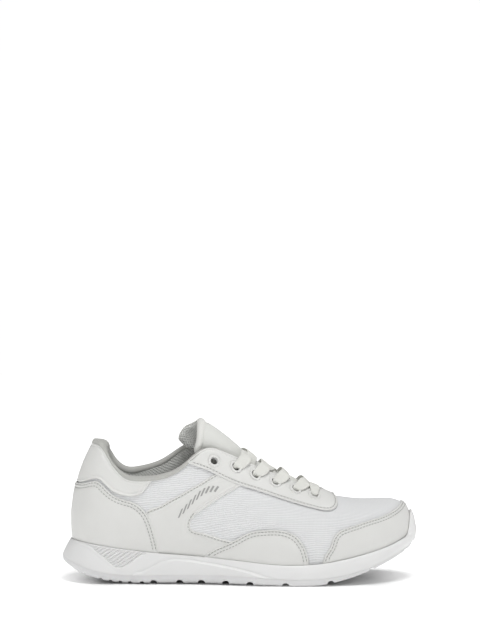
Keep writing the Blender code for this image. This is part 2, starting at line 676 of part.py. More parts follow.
FOLD_U = tongue_u(FOLD_X)
TONGUE_TOP = tongue_u(-33)


def tongue_frame(u, w):
    """Point and outward normal of the tongue's face; w runs across, - is the outer side."""
    x = np.interp(u, LINE_LENGTH, LINE[:, 0])
    z = np.interp(u, LINE_LENGTH, LINE[:, 1])
    before = np.stack([np.interp(u - 1.5, LINE_LENGTH, LINE[:, k]) for k in (0, 1)], -1)
    after = np.stack([np.interp(u + 1.5, LINE_LENGTH, LINE[:, k]) for k in (0, 1)], -1)
    along = (after - before) / np.linalg.norm(after - before, axis=-1, keepdims=True)
    radius = TONGUE_RADIUS(x)
    turn = np.clip(w / radius, -math.pi / 2, math.pi / 2)
    drop = radius * (1 - np.cos(turn)) + np.abs(w) - np.abs(turn) * radius
    up = np.stack([along[..., 1], np.zeros_like(x), -along[..., 0]], -1)
    y = radius * np.sin(turn) + swing(x)
    point = np.stack([x, y, z], -1) - up * drop[..., None]
    normal = up * np.cos(turn)[..., None] + np.stack([0 * x, np.sin(turn), 0 * x], -1)
    return point, normal


def tongue_sheet(name, look, outline, depths, pivot=(0, 0, 0)):
    """A closed sheet of the tongue; the outline is in (w, u)."""
    grid = np.array([(w, u) for w in np.arange(-7, 8) * 6.2 for u in np.arange(0, 26) * 8.0])
    flat, faces = flat_mesh(resample(outline, EDGE_STEP), [], grid)
    point, normal = tongue_frame(flat[:, 1], flat[:, 0])
    x = np.interp(flat[:, 1], LINE_LENGTH, LINE[:, 0])
    outer = point - normal * (depths[0](x) if callable(depths[0]) else depths[0] + 0 * x)[:, None]
    inner = point - normal * (depths[1](x) if callable(depths[1]) else depths[1] + 0 * x)[:, None]
    bm = slab(outer, inner, [list(f) for f in faces])
    return finish_object(name, bm, look, pivot)


def foam_bottom(x):
    return 1.4 + TONGUE_FOAM(x)


def cloth_top(x):
    return 1.8 + TONGUE_FOAM(x)


def cloth_bottom(x):
    return 2.6 + TONGUE_FOAM(x)


TONGUE_LAYERS = [("face", ((0.82, 0.82, 0.83), 0.7), 0.0, 1.0),
                 ("foam", ((0.9, 0.88, 0.8), 0.9), 1.4, foam_bottom),
                 ("lining", ((0.55, 0.57, 0.6), 0.95), cloth_top, cloth_bottom)]


def grown(outline, amount):
    """The open outline moved outward by `amount` (it runs anticlockwise)."""
    result = []
    for k, p in enumerate(outline):
        a, b = outline[max(k - 1, 0)], outline[min(k + 1, len(outline) - 1)]
        length = math.dist(a, b)
        result.append((p[0] + (b[1] - a[1]) / length * amount, p[1] - (b[0] - a[0]) / length * amount))
    return result


def build_tongue():
    start = FOLD_U - 0.25
    lower = [(-16, 0), (16, 0), (22, 16), (28, 45), (32, 78), (33, start), (-33, start),
             (-32, 78), (-28, 45), (-22, 16)]
    base = FOLD_U + 0.25
    top = TONGUE_TOP
    edge = [(33, base), (35, base + 8), (38, base + 17), (39.5, top - 2), (38.5, top + 3),
            (33, top + 4.5), (20, top + 2.5), (0, top), (-20, top - 3), (-33, top - 5.5),
            (-38.5, top - 7), (-39.5, top - 11), (-38, base + 12), (-35, base + 6), (-33, base)]
    pivot_point = tongue_frame(np.array([FOLD_U]), np.array([0.0]))[0][0]
    pivot = (float(pivot_point[0]), 0.0, float(pivot_point[2]))
    for tag, look, outside, inside in TONGUE_LAYERS:
        tongue_sheet("tongue_" + tag, look, lower, (outside, inside))
        tongue_sheet("tongue_flap_" + tag, look, edge, (outside, inside), pivot)
    band = grown(edge, 2.0) + list(reversed(grown(edge, 0.4)))
    tongue_sheet("tongue_flap_binding", ((0.88, 0.88, 0.88), 0.7), band, (0.0, cloth_bottom), pivot)


# ---------------------------------------------------------------- lace

UNDER, OVER = 5.2, -1.9     # depth of the lace below and above a facing
NARROW = 3.0                # width of the lace where it is gathered in an eyelet


def facing_frame(side, eyelet, along, down, depth, width, face):
    """Lace frame by an eyelet; face +1 or -1 is the side of the lace that looks out."""
    s, v = eyelet[0] + along, eyelet[1] + down
    return offset(side, s, v, depth)[0], face * normals(side, s, v)[0], width


def eyelet_frame(side, eyelet, depth, face):
    """Lace frame inside an eyelet, where the lace runs along the normal."""
    s, v = eyelet
    down = place(side, s, v + 1)[0] - place(side, s, v - 1)[0]
    return offset(side, s, v, depth)[0], face * down / np.linalg.norm(down), NARROW


def tongue_lace_frame(x, w, height, face):
    point, normal = tongue_frame(np.array([tongue_u(x)]), np.array([float(w)]))
    return point[0] + normal[0] * height, face * normal[0], LACE_WIDTH


def crossing(side, lower, upper, raised, face):
    """From inside one eyelet, under its facing, over the other facing and in again."""
    frames = [facing_frame(side, lower, 0, -0.5, UNDER, NARROW, face),
              facing_frame(side, lower, -1.0, -5.5, UNDER, 5.0, face)]
    for share, reach in ((0.24, 0.14), (0.38, 0.25), (0.5, 0.38), (0.62, 0.52), (0.74, 0.68)):
        x = lower[0] + (upper[0] - lower[0]) * reach
        w = side * (1 - 2 * share) * 1.2 * float(TOP_R(x))
        bump = 1.8 if raised and 0.3 < share < 0.7 else 0.0
        climb = 5.0 if share > 0.7 else 0.0
        frames.append(tongue_lace_frame(x, w, 1.3 + bump + climb, face))
    frames += [facing_frame(-side, upper, 4.0, -upper[1] - 1.5, OVER - 3.2, 6.0, face),
               facing_frame(-side, upper, 2.4, -4.6, OVER, 6.2, face),
               facing_frame(-side, upper, 0.3, -0.4, OVER, NARROW, face),
               eyelet_frame(-side, upper, 0.0, face),
               eyelet_frame(-side, upper, 3.4, face)]
    return frames


# Free end of the lace inside the shoe: station, v and width.
TAIL = [(-5, 13, 3.0), (-13, 18, 5.4), (-26, 25, 6), (-42, 31, 6), (-56, 33, 6), (-66, 33, 6),
        (-76, 32, 3.4)]


def tail(side, face):
    frames = []
    for s, v, width in TAIL:
        depth = float(lining_inside(s, v)) + 2.2
        frames.append((offset(side, s, v, depth)[0], face * normals(side, s, v)[0], width))
    return frames


def lace_half(side):
    """Frames from the lowest eyelet on one side up to the free end."""
    frames = [eyelet_frame(side, EYELETS[0], 0.0, 1), eyelet_frame(side, EYELETS[0], 3.4, 1)]
    face = 1
    for k in range(4):
        face = -face
        frames += crossing(side, EYELETS[k], EYELETS[k + 1], (side > 0) == (k % 2 == 0), face)
        side = -side
    return frames + tail(side, face)


def lace_frames():
    """Frames along the lace from the outer-side tip to the inner-side tip."""
    low_eyelet = EYELETS[0]
    bar = [facing_frame(-1, low_eyelet, 0, down, OVER, width, 1)
           for down, width in ((-0.4, NARROW), (-5, 5), (-12, LACE_WIDTH))]
    bar.append(tongue_lace_frame(low_eyelet[0], 0, 5.4, 1))
    bar += [facing_frame(1, low_eyelet, 0, down, OVER, width, 1)
            for down, width in ((-12, LACE_WIDTH), (-5, 5), (-0.4, NARROW))]
    path = list(reversed(lace_half(-1))) + bar + lace_half(1)
    values = np.array([[*p, *u, w] for p, u, w in path])
    quarter = values[:-1] * 0.75 + values[1:] * 0.25
    three = values[:-1] * 0.25 + values[1:] * 0.75
    values = np.concatenate([values[:1], np.stack([quarter, three], 1).reshape(-1, 7), values[-1:]])
    line, up, width = values[:, :3], values[:, 3:6], values[:, 6]
    tangent = np.gradient(line, axis=0)
    tangent /= np.linalg.norm(tangent, axis=1, keepdims=True)
    up = up - tangent * (up * tangent).sum(1, keepdims=True)
    up /= np.linalg.norm(up, axis=1, keepdims=True)
    return line, up, np.cross(up, tangent), width


def build_lace():
    line, up, wide, width = lace_frames()
    flat = [(-0.5, -0.5), (0.5, -0.5), (0.5, 0.5), (-0.5, 0.5)]
    frames = [(line[k], up[k], wide[k], width[k], LACE_THICK) for k in range(len(line))]
    tube("lace", ((0.9, 0.9, 0.88), 0.8), frames, flat)
    ring = [(math.cos(a) / 2, math.sin(a) / 2) for a in np.arange(10) * math.pi / 5]
    for name, last, step in (("aglet_lateral", 0, 1), ("aglet_medial", -1, -1)):
        tip = line[last]
        back = line[last + step] - tip
        back /= np.linalg.norm(back)
        frames = [(tip - back * (0.4 + d), up[last], wide[last], 1.9, 1.9) for d in (0, 16)]
        tube(name, ((0.95, 0.95, 0.95), 0.2), frames, ring)


def main():
    for obj in list(bpy.data.objects):
        bpy.data.objects.remove(obj, do_unlink=True)
    build_sole()
    build_base()
    build_inside()
    build_overlays()
    build_collar_binding()
    build_tongue()
    build_lace()


main()
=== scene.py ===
"""Looks of the low-cut running shoe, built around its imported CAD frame.

X runs from heel to toe, -Y is the outer (lateral) side and +Z is up.  Curves are
in millimetres and describe the same surfaces as the CAD part: `s` is the station
around the shoe and `v` the distance down the upper from its top edge.
"""
import math

import bmesh
import bpy
import numpy as np
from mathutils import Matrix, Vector, geometry


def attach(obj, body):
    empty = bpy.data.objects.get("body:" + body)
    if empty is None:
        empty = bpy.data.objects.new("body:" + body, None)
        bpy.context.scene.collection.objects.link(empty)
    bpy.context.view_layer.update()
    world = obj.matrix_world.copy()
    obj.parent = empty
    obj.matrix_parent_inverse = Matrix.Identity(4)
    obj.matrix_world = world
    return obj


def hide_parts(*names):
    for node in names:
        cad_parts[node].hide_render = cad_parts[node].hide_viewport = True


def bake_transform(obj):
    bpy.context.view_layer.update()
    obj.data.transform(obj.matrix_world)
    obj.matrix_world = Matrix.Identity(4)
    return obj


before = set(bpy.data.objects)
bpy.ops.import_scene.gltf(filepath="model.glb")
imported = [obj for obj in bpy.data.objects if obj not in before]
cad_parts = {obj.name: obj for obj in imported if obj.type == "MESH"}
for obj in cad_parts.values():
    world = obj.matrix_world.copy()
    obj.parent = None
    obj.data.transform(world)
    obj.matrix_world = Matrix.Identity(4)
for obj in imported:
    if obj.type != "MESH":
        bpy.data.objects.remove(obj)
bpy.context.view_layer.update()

MM = 0.001

# Fan centres of the heel and toe sections, and the radius that turns a fan
# angle into station length.
HEEL_X, TOE_X = -106.0, 62.0
HEEL_REF, TOE_REF = 33.0, 50.0
HEEL_END = HEEL_X - HEEL_REF * math.pi / 2
TOE_END = TOE_X + TOE_REF * math.pi / 2

TUCK = 4.4              # how far the upper runs down inside the sole rim
LOW = 999.0             # stands for "down to the tucked lower edge"
SWING = 7.0             # inward swing of the toe tip
TOE_TIP_X = 143.0
LINING_TOP = 2.8        # depth of the lining where nothing lies before it
LINING_THICK = 0.8
LINING_RIM = 0.6        # how far below the top edge the lining starts
EYELET_RADIUS = 2.8
EYELET_FAN = 20.0       # distance of the lowest eyelets from the toe's fan centre
EYELETS = [(61.8, 10.5), (46, 9.6), (29, 9.5), (12.5, 9.4), (-3.5, 9.6), (-21.5, 11)]
LACE_WIDTH = 9.0
FOLD_X = -9.5           # X of the fold of the tongue


# ---------------- curves

def spline(knots):
    """Natural cubic spline through (x, y) knots, held flat outside them."""
    x = np.array([k[0] for k in knots], float)
    y = np.array([k[1] for k in knots], float)
    h = np.diff(x)
    n = len(x)
    left = np.eye(n)
    right = np.zeros(n)
    left[0, :2] = 2 * h[0], h[0]
    left[-1, -2:] = h[-1], 2 * h[-1]
    right[0] = 6 * (y[1] - y[0]) / h[0]
    right[-1] = -6 * (y[-1] - y[-2]) / h[-1]
    for i in range(1, n - 1):
        left[i, i - 1:i + 2] = h[i - 1], 2 * (h[i - 1] + h[i]), h[i]
        right[i] = 6 * ((y[i + 1] - y[i]) / h[i] - (y[i] - y[i - 1]) / h[i - 1])
    m = np.linalg.solve(left, right)

    def at(t):
        t = np.clip(np.asarray(t, float), x[0], x[-1])
        i = np.clip(np.searchsorted(x, t) - 1, 0, n - 2)
        a, b, w = x[i + 1] - t, t - x[i], h[i]
        bend = (m[i] * a ** 3 + m[i + 1] * b ** 3) / (6 * w)
        return bend + (y[i] / w - m[i] * w / 6) * a + (y[i + 1] / w - m[i + 1] * w / 6) * b

    return at


def smooth(t):
    t = np.clip(t, 0.0, 1.0)
    return t * t * (3 - 2 * t)


def heel_at(degrees):
    """Station of a heel section, 90 degrees being the back of the shoe."""
    return HEEL_X - HEEL_REF * math.radians(degrees)


def toe_at(degrees):
    """Station of a toe section, 90 degrees being the tip of the shoe."""
    return TOE_X + TOE_REF * math.radians(degrees)


def unit(vectors):
    """Vectors scaled to length 1, along the last axis."""
    return vectors / np.linalg.norm(vectors, axis=-1, keepdims=True)


def travelled(points):
    """Length along a polyline at each of its points."""
    return np.concatenate([[0], np.cumsum(np.linalg.norm(np.diff(points, axis=0), axis=1))])


def turns(count):
    """Angles once round a circle."""
    return np.arange(count) * 2 * math.pi / count


STATIONS = (HEEL_END, HEEL_X, -74, -33, 0, 33, TOE_X, toe_at(30), toe_at(60), TOE_END)


def profile(values, *more):
    """Curve through one value per shared station, and through further (station, value) knots."""
    return spline(sorted([*zip(STATIONS, values), *more]))


# Lower edge of the upper, where it meets the sole.
FEATHER_R = profile((34.4, 32.5, 32.8, 36, 42.5, 47.8, 49, 53, 67, 81), (heel_at(45), 34), (toe_at(75), 76))
FEATHER_Z = profile((34.1, 29.6, 25.6, 22.6, 19.7, 16.9, 17.6, 21.8, 29.5, 39),
                    (heel_at(45), 33.3), (toe_at(75), 35))
# Two handles that shape each section between the sole and the top edge.
SIDE_R = profile((38, 38, 38, 40, 45.5, 51, 52.5, 57, 71, 86))
SIDE_Z = profile((58, 53, 47, 50, 48, 45, 44, 52, 69, 87))
CREST_R = profile((33.5, 31, 33, 35, 35, 37, 38, 37, 43, 50))
CREST_Z = profile((88, 80, 68, 82, 80, 70, 62, 64, 58.5, 53.5))
# Collar and throat edge.
TOP_R = spline([(HEEL_END, 16.6), (heel_at(45), 19), (HEEL_X, 25), (-90, 29), (-74, 30),
                (-56, 29.5), (-40, 27.5), (-27, 25), (0, 21), (33, 16), (62, 11),
                (toe_at(30), 9.5), (toe_at(60), 8.5), (TOE_END, 8)])
HEEL_BACK_Z = [(HEEL_END, 116.5), (heel_at(45), 115.8)]
THROAT_Z = [(0, 102), (20, 92.6), (40, 84.3), (TOE_X, 76.5), (toe_at(30), 75), (toe_at(60), 74),
            (TOE_END, 73.5)]
TOP_Z = spline(HEEL_BACK_Z + [(heel_at(20), 112.2), (HEEL_X, 99.5), (-96, 89.2), (-86, 86.6), (-74, 87),
                              (-62, 89.3), (-50, 95), (-38, 105), (-28, 110.8), (-15, 108.5)] + THROAT_Z)
TOP_Z_INNER_SIDE = spline(HEEL_BACK_Z + [(heel_at(20), 111), (HEEL_X, 98), (-98, 91.5), (-88, 90.8),
                                         (-77, 93), (-64, 98.5), (-52, 106.5), (-43, 110.8),
                                         (-30, 110.8), (-15, 108)] + THROAT_Z)
# The inner (medial) side is narrower at the arch.
INNER_SIDE = spline([(HEEL_END, 1), (HEEL_X, 1), (-74, 0.95), (-33, 0.86), (0, 0.87),
                     (33, 0.92), (62, 0.95), (toe_at(60), 0.97), (TOE_END, 1)])

# Padding between the layers at the collar, by station and by depth down the side.
PAD = spline([(HEEL_END, 8.5), (HEEL_X, 7.5), (-74, 6.5), (-50, 5), (-36, 3), (-22, 0.2), (-16, 0)])
PAD_SHAPE = spline([(0, 0.55), (7, 0.85), (14, 1), (22, 0.9), (34, 0.35), (46, 0.02), (50, 0)])


# ---------------- upper surface

def swing(x):
    """Sideways swing of the last toward the big toe."""
    return SWING * (np.clip(x, 0, None) / TOE_TIP_X) ** 2


def sections(side, s):
    """Each section as a polyline of (r, z) from the top edge down, and its lengths."""
    inner = np.where(side > 0, INNER_SIDE(s), 1.0)
    top_z = np.where(side > 0, TOP_Z_INNER_SIDE(s), TOP_Z(s))
    lift = top_z - TOP_Z(s)
    feather = np.stack([FEATHER_R(s) * inner, FEATHER_Z(s)], -1)
    flank = np.stack([SIDE_R(s) * inner, SIDE_Z(s) + 0.1 * lift], -1)
    crest = np.stack([CREST_R(s) * (1 + inner) / 2, CREST_Z(s) + 0.7 * lift], -1)
    top = np.stack([TOP_R(s), top_z], -1)
    t = np.linspace(0, 1, 41)[None, :, None]
    curve = (top[:, None] * (1 - t) ** 3 + 3 * crest[:, None] * (1 - t) ** 2 * t
             + 3 * flank[:, None] * (1 - t) * t ** 2 + feather[:, None] * t ** 3)
    down = unit(feather - flank)
    curve = np.concatenate([curve, (feather + 9 * down)[:, None]], 1)
    pieces = np.linalg.norm(np.diff(curve, axis=1), axis=2)
    length = np.concatenate([np.zeros((len(curve), 1)), np.cumsum(pieces, 1)], 1)
    return curve, length


def station_to_world(side, s, r, z):
    """World position of radius r and height z on the section at station s."""
    centre = np.clip(s, HEEL_X, TOE_X)
    turn = np.abs(s - centre) / np.where(s < centre, HEEL_REF, TOE_REF)
    x = centre + r * np.sin(turn) * np.sign(s - centre)
    return np.stack([x, side * r * np.cos(turn) + swing(x), z], -1)


def aligned(*values):
    """The values as float arrays of one length."""
    return np.broadcast_arrays(*(np.atleast_1d(np.asarray(a, float)) for a in values))


def place(side, s, v):
    """World points of the upper's surface."""
    side, s, v = aligned(side, s, v)
    curve, length = sections(side, s)
    row = np.arange(len(s))
    i = np.clip((length <= v[:, None]).sum(1) - 1, 0, length.shape[1] - 2)
    f = (v - length[row, i]) / (length[row, i + 1] - length[row, i])
    rz = curve[row, i] + (curve[row, i + 1] - curve[row, i]) * f[:, None]
    return station_to_world(side, s, rz[:, 0], rz[:, 1])


def normals(side, s, v):
    """Outward normals of the upper's surface."""
    side, s, v = aligned(side, s, v)
    e = 0.4
    inside = np.clip(s, HEEL_END + e, TOE_END - e)
    along = place(side, inside + e, v) - place(side, inside - e, v)
    down = place(side, inside, v + e) - place(side, inside, v - e)
    n = np.cross(along, down) * side[:, None]
    n[(s < HEEL_END + 0.01) | (s > TOE_END - 0.01), 1] = 0
    return unit(n)


def offset(side, s, v, depth):
    """World points `depth` below the upper's surface."""
    return place(side, s, v) - normals(side, s, v) * np.reshape(depth, (-1, 1))


def lining_depth(s, v):
    """Depth of the outer face of the lining: it clears the stiffeners and the pad."""
    heel = smooth((-58 - s) / 12)
    toe = smooth((s - 80) / 12) * smooth((v - 40) / 14)
    return LINING_TOP + 2.3 * (heel + toe) + np.clip(PAD(s), 0, None) * np.clip(PAD_SHAPE(v), 0, None)


def lining_inside(s, v):
    """Depth of the inner face of the lining."""
    return lining_depth(s, v) + LINING_THICK


def inside_outline(points, outline):
    """Even-odd test of many points against one closed outline."""
    x, y = points[:, 0], points[:, 1]
    hit = np.zeros(len(points), bool)
    for (x0, y0), (x1, y1) in zip(outline, np.roll(outline, -1, axis=0)):
        if y0 != y1:
            crosses = (y0 > y) != (y1 > y)
            hit ^= crosses & (x < (x1 - x0) * (y - y0) / (y1 - y0) + x0)
    return hit


# ---------------- materials

def node(tree, kind, inputs=(), **props):
    """Add a node; inputs maps socket names or numbers to values, signals or sockets."""
    made = tree.nodes.new("ShaderNode" + kind)
    for key, value in props.items():
        setattr(made, key, value)
    for key, value in dict(inputs).items():
        if isinstance(value, Signal):
            value = value.socket
        if isinstance(value, bpy.types.NodeSocket):
            tree.links.new(value, made.inputs[key])
        else:
            made.inputs[key].default_value = value
    return made


class Signal:
    """A number that runs between a material's nodes, with its arithmetic."""

    def __init__(self, socket):
        self.socket = socket

    def maths(self, operation, other=0.0):
        made = node(self.socket.id_data, "Math", {0: self, 1: other}, operation=operation)
        return Signal(made.outputs[0])

    def __add__(self, other):
        return self.maths("ADD", other)

    def __sub__(self, other):
        return self.maths("SUBTRACT", other)

    def __mul__(self, other):
        return self.maths("MULTIPLY", other)

    def __abs__(self):
        return self.maths("ABSOLUTE")

    def wave(self, pitch):
        """A 0 to 1 wave along a coordinate, with the given pitch in the same unit."""
        return (self * (2 * math.pi / pitch)).maths("SINE") * 0.5 + 0.5


class Look:
    """A Principled material and the patterns that feed it."""

    def __init__(self, name, colour, roughness):
        self.material = bpy.data.materials.new(name)
        self.material.use_nodes = True
        self.tree = self.material.node_tree
        self.shader = self.tree.nodes["Principled BSDF"]
        self.colour = colour
        self.set("Base Color", (*colour, 1))
        self.set("Roughness", roughness)

    def set(self, name, value):
        self.shader.inputs[name].default_value = value

    def feed(self, name, socket):
        self.tree.links.new(socket, self.shader.inputs[name])

    def where(self, kind="Object"):
        return node(self.tree, "TexCoord").outputs[kind]

    def axes(self, kind="Object"):
        """The three coordinates, in metres on the object or in millimetres on a cloth's UVs."""
        return [Signal(out) for out in node(self.tree, "SeparateXYZ", {0: self.where(kind)}).outputs]

    def noise(self, size, detail=3.0):
        """Noise of the given feature size in millimetres."""
        made = node(self.tree, "TexNoise", {"Vector": self.where(), "Scale": 1000 / size, "Detail": detail})
        return Signal(made.outputs["Fac"])

    def raised(self, height, depth):
        """Bump the surface by a pattern, `depth` in millimetres."""
        self.feed("Normal", node(self.tree, "Bump", {"Height": height, "Distance": depth * MM}).outputs[0])

    def tinted(self, factor, low, high):
        """Let a pattern scale the colour from `low` to `high`."""
        ends = {key: (*(c * amount for c in self.colour), 1) for key, amount in (("A", low), ("B", high))}
        mixed = node(self.tree, "Mix", {"Factor": factor, **ends}, data_type="RGBA")
        self.feed("Base Color", mixed.outputs["Result"])

    def polished(self, factor, low, high):
        """Let a pattern vary the roughness from `low` to `high`."""
        ranged = node(self.tree, "MapRange", {"Value": factor, "To Min": low, "To Max": high})
        self.feed("Roughness", ranged.outputs[0])


def leather_look(name, colour, grain=0.9):
    """Synthetic leather: fine pebbled grain under a soft semi-matt finish."""
    look = Look(name, colour, 0.45)
    look.set("Specular IOR Level", 0.4)
    pebbles = node(look.tree, "TexVoronoi", {"Vector": look.where(), "Scale": 1000 / grain},
                   feature="SMOOTH_F1")
    look.raised(Signal(pebbles.outputs["Distance"]) * 0.7 + look.noise(0.45, 4), 0.07)
    look.tinted(look.noise(14), 0.965, 1.02)
    look.polished(look.noise(5), 0.38, 0.54)
    return look.material


def ribbed_mesh_look(name, colour):
    """Knitted mesh whose ribs run from heel to toe and whose columns of loops cross them."""
    look = Look(name, colour, 0.85)
    x, y, z = look.axes()
    rib = (abs(y) - z + x * 0.045 + look.noise(9) * 0.0006).wave(2.0 * MM)
    loops = x.wave(1.1 * MM)
    look.raised(rib + loops * 0.35 + look.noise(0.4) * 0.3, 0.22)
    # Painted shade: the colour darkens to 0.84 in the hollows between the ribs and loops.
    look.tinted(rib * 0.8 + loops * 0.2, 0.84, 1.03)
    return look.material


def diamond_mesh_look(name, colour, pitch=2.4):
    """Lining textile with rows of small open diamonds."""
    look = Look(name, colour, 0.9)
    u, v, _ = look.axes("UV")
    cell = (u + v).wave(pitch) * (u - v).wave(pitch)
    look.raised(look.noise(0.5) * 0.3 - cell, 0.35)
    # Painted shade: the colour darkens to 0.6 in the sunken open diamonds.
    look.tinted(cell, 1.08, 0.6)
    return look.material


def woven_look(name, colour, pitch, depth):
    """Herringbone weave along a strip."""
    look = Look(name, colour, 0.85)
    along, across, _ = look.axes("UV")
    slant = (along + abs(across)).wave(pitch)
    look.raised(slant * 0.7 + across.wave(pitch * 0.75) * 0.4 + look.noise(0.3) * 0.25, depth)
    # Painted shade: the colour darkens to 0.88 in the hollows of the weave.
    look.tinted(slant, 0.88, 1.03)
    return look.material


def smooth_textile_look(name, colour):
    """Close, soft tongue cloth with a faint fine weave."""
    look = Look(name, colour, 0.7)
    x, y, _ = look.axes()
    look.raised(x.wave(0.7 * MM) * y.wave(0.7 * MM) * 0.4 + look.noise(0.6, 4), 0.08)
    look.tinted(look.noise(11), 0.95, 1.02)
    return look.material


def foam_look(name, colour, roughness=0.5):
    """Moulded sole foam: smooth skin with faint mottling."""
    look = Look(name, colour, roughness)
    look.raised(look.noise(0.7, 4), 0.035)
    look.tinted(look.noise(22), 0.97, 1.01)
    look.polished(look.noise(7), roughness - 0.07, roughness + 0.08)
    return look.material


def thread_look(name, colour):
    """Twisted sewing thread."""
    look = Look(name, colour, 0.6)
    look.raised(look.noise(0.25, 2), 0.05)
    look.tinted(look.noise(3), 0.93, 1.03)
    return look.material


def plastic_look(name, colour, roughness):
    """Plain plastic or ink, slightly uneven in gloss."""
    look = Look(name, colour, roughness)
    look.raised(look.noise(1.5), 0.015)
    look.polished(look.noise(4), roughness * 0.8, roughness * 1.25)
    return look.material


LEATHER = leather_look("overlay_leather", (0.70, 0.70, 0.68))
MESH_CLOTH = ribbed_mesh_look("ribbed_mesh", (0.775, 0.780, 0.785))
LINING = diamond_mesh_look("lining_cloth", (0.62, 0.625, 0.60))
BINDING = woven_look("binding_cloth", (0.48, 0.48, 0.455), 1.2, 0.08)
TONGUE_CLOTH = smooth_textile_look("tongue_cloth", (0.685, 0.69, 0.66))
TONGUE_BAND = woven_look("tongue_band", (0.73, 0.73, 0.70), 1.0, 0.06)
FOAM = foam_look("midsole_foam", (0.765, 0.765, 0.76))
RUBBER = foam_look("outsole_rubber", (0.72, 0.72, 0.72), 0.6)
LACE_CORD = woven_look("lace_cord", (0.74, 0.74, 0.70), 1.5, 0.14)
# The stitch thread's dark grey is painted shade of the stitch holes along each row.
SHADED_STITCH_THREAD = thread_look("stitch_thread_painted_shade", (0.36, 0.36, 0.345))
PRINT = plastic_look("grey_print", (0.33, 0.33, 0.32), 0.5)
AGLET = plastic_look("aglet_plastic", (0.8, 0.8, 0.8), 0.2)
SOCKLINER_CLOTH = diamond_mesh_look("sockliner_cloth", (0.5, 0.51, 0.52), 1.8)
STIFFENER_SHEET = plastic_look("stiffener", (0.5, 0.5, 0.46), 0.6)
BOARD = woven_look("board", (0.6, 0.58, 0.52), 1.5, 0.1)


# ---------------- mesh helpers

def settle(mesh, weld=0.0):
    """Merge points closer than `weld` metres and turn every face outward."""
    bm = bmesh.new()
    bm.from_mesh(mesh)
    if weld:
        bmesh.ops.remove_doubles(bm, verts=bm.verts, dist=weld)
    bmesh.ops.recalc_face_normals(bm, faces=bm.faces)
    bm.to_mesh(mesh)
    bm.free()


def give_uv(mesh, uv):
    """Lay UVs in millimetres, one pair per vertex, on a mesh."""
    index = np.empty(len(mesh.loops), np.int32)
    mesh.loops.foreach_get("vertex_index", index)
    layer = mesh.uv_layers.new(name="cloth_mm")
    layer.data.foreach_set("uv", np.asarray(uv, np.float32)[index].ravel())


def put_in_scene(name, data):
    obj = bpy.data.objects.new(name, data)
    bpy.context.scene.collection.objects.link(obj)
    return obj


def make_piece(name, verts, faces, look, uv=None, crease=48):
    """An object from millimetre points, shaded smooth except at real edges."""
    mesh = bpy.data.meshes.new(name)
    mesh.from_pydata([tuple(p) for p in np.asarray(verts) * MM], [], [list(f) for f in faces])
    settle(mesh)
    mesh.polygons.foreach_set("use_smooth", [True] * len(mesh.polygons))
    mesh.set_sharp_from_angle(angle=math.radians(crease))
    if uv is not None:
        give_uv(mesh, uv)
    mesh.materials.append(look)
    return put_in_scene(name, mesh)


def tube_faces(rows, size, first=0, capped=True):
    """Faces of a tube whose rings of `size` points are numbered from `first`."""
    ring = [(first + j, first + (j + 1) % size) for j in range(size)]
    last = (rows - 1) * size
    faces = [[a + k, b + k, b + k + size, a + k + size] for k in range(0, last, size) for a, b in ring]
    if capped:
        faces.append([first + j for j in reversed(range(size))])
        faces.append([first + last + j for j in range(size)])
    return faces


def place_piece(obj, nodes=(), body="shoe"):
    """Put a finished piece on its body and hide the CAD nodes it stands for."""
    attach(obj, body)
    if nodes:
        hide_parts(*nodes)
    return obj


def curve_through(points, step):
    """Smooth open curve through the points, sampled about every `step`."""
    points = np.array(points, float)
    along = travelled(points)
    at = np.linspace(0, along[-1], max(2, math.ceil(along[-1] / step) + 1))
    return np.stack([spline(list(zip(along, points[:, k])))(at) for k in range(points.shape[1])], -1)


def straight_through(points, step):
    """Open polyline through the points, sampled about every `step`."""
    run = []
    for a, b in zip(points, points[1:]):
        count = max(1, math.ceil(math.dist(a, b) / step))
        run += [(a[0] + (b[0] - a[0]) * k / count, a[1] + (b[1] - a[1]) * k / count) for k in range(count)]
    return np.array(run + [points[-1]], float)


def low(side, s):
    """The v of the tucked lower edge."""
    s = np.atleast_1d(np.asarray(s, float))
    return sections(np.full(len(s), float(side)), s)[1][:, -2] + TUCK


# Station of the centre line that each outline is measured from, and the way stations run from it.
CENTRE = {"heel": (HEEL_END, 1), "toe": (TOE_END, -1)}


def half_outline(runs, side, about, step=1.5):
    """(c, v) points along one side; a run of LOW points follows the lower edge."""
    end, sign = CENTRE[about]
    points = []
    for kind, run in runs:
        if all(v == LOW for _, v in run):
            first, last = run[0][0], run[-1][0]
            s = np.linspace(first, last, max(2, math.ceil(abs(last - first) / step)))
            part = np.stack([s, low(side, s)], -1)
        else:
            run = [(s, float(low(side, s)[0]) if v == LOW else v) for s, v in run]
            part = (curve_through if kind == "curve" else straight_through)(run, step)
        points.append(part)
    points = np.concatenate(points)
    points[:, 0] = side * sign * (points[:, 0] - end)
    keep = np.concatenate([[True], np.linalg.norm(np.diff(points, axis=0), axis=1) > 0.2])
    return points[keep]


def whole_outline(runs, about):
    """(c, v) points round a piece that crosses the heel or toe centre line."""
    outer, inner = half_outline(runs, -1, about), half_outline(runs, 1, about)
    return np.concatenate([outer, inner[::-1][1:-1]])


def side_outline(runs, side, about="heel"):
    """(c, v) points round a piece that stays on one side."""
    points = half_outline(runs, side, about)
    return points[:-1] if np.linalg.norm(points[0] - points[-1]) < 0.3 else points


def station(points, about):
    """Stations of (c, v) points."""
    end, sign = CENTRE[about]
    return end + sign * np.abs(points[:, 0])


def upper_surface(about):
    """Surface of the upper over (c, v): points and outward normals."""
    def surface(points):
        where = np.where(points[:, 0] < 0, -1.0, 1.0), station(points, about), points[:, 1]
        return place(*where), normals(*where)
    return surface


def line_distance(points, line):
    """Distance of many points to a closed polyline, in as many dimensions as given."""
    best = np.full(len(points), 1e9)
    for a, b in zip(line, np.roll(line, -1, axis=0)):
        t = np.clip(((points - a) @ (b - a)) / max((b - a) @ (b - a), 1e-9), 0, 1)
        best = np.minimum(best, np.linalg.norm(points - a - t[:, None] * (b - a), axis=1))
    return best


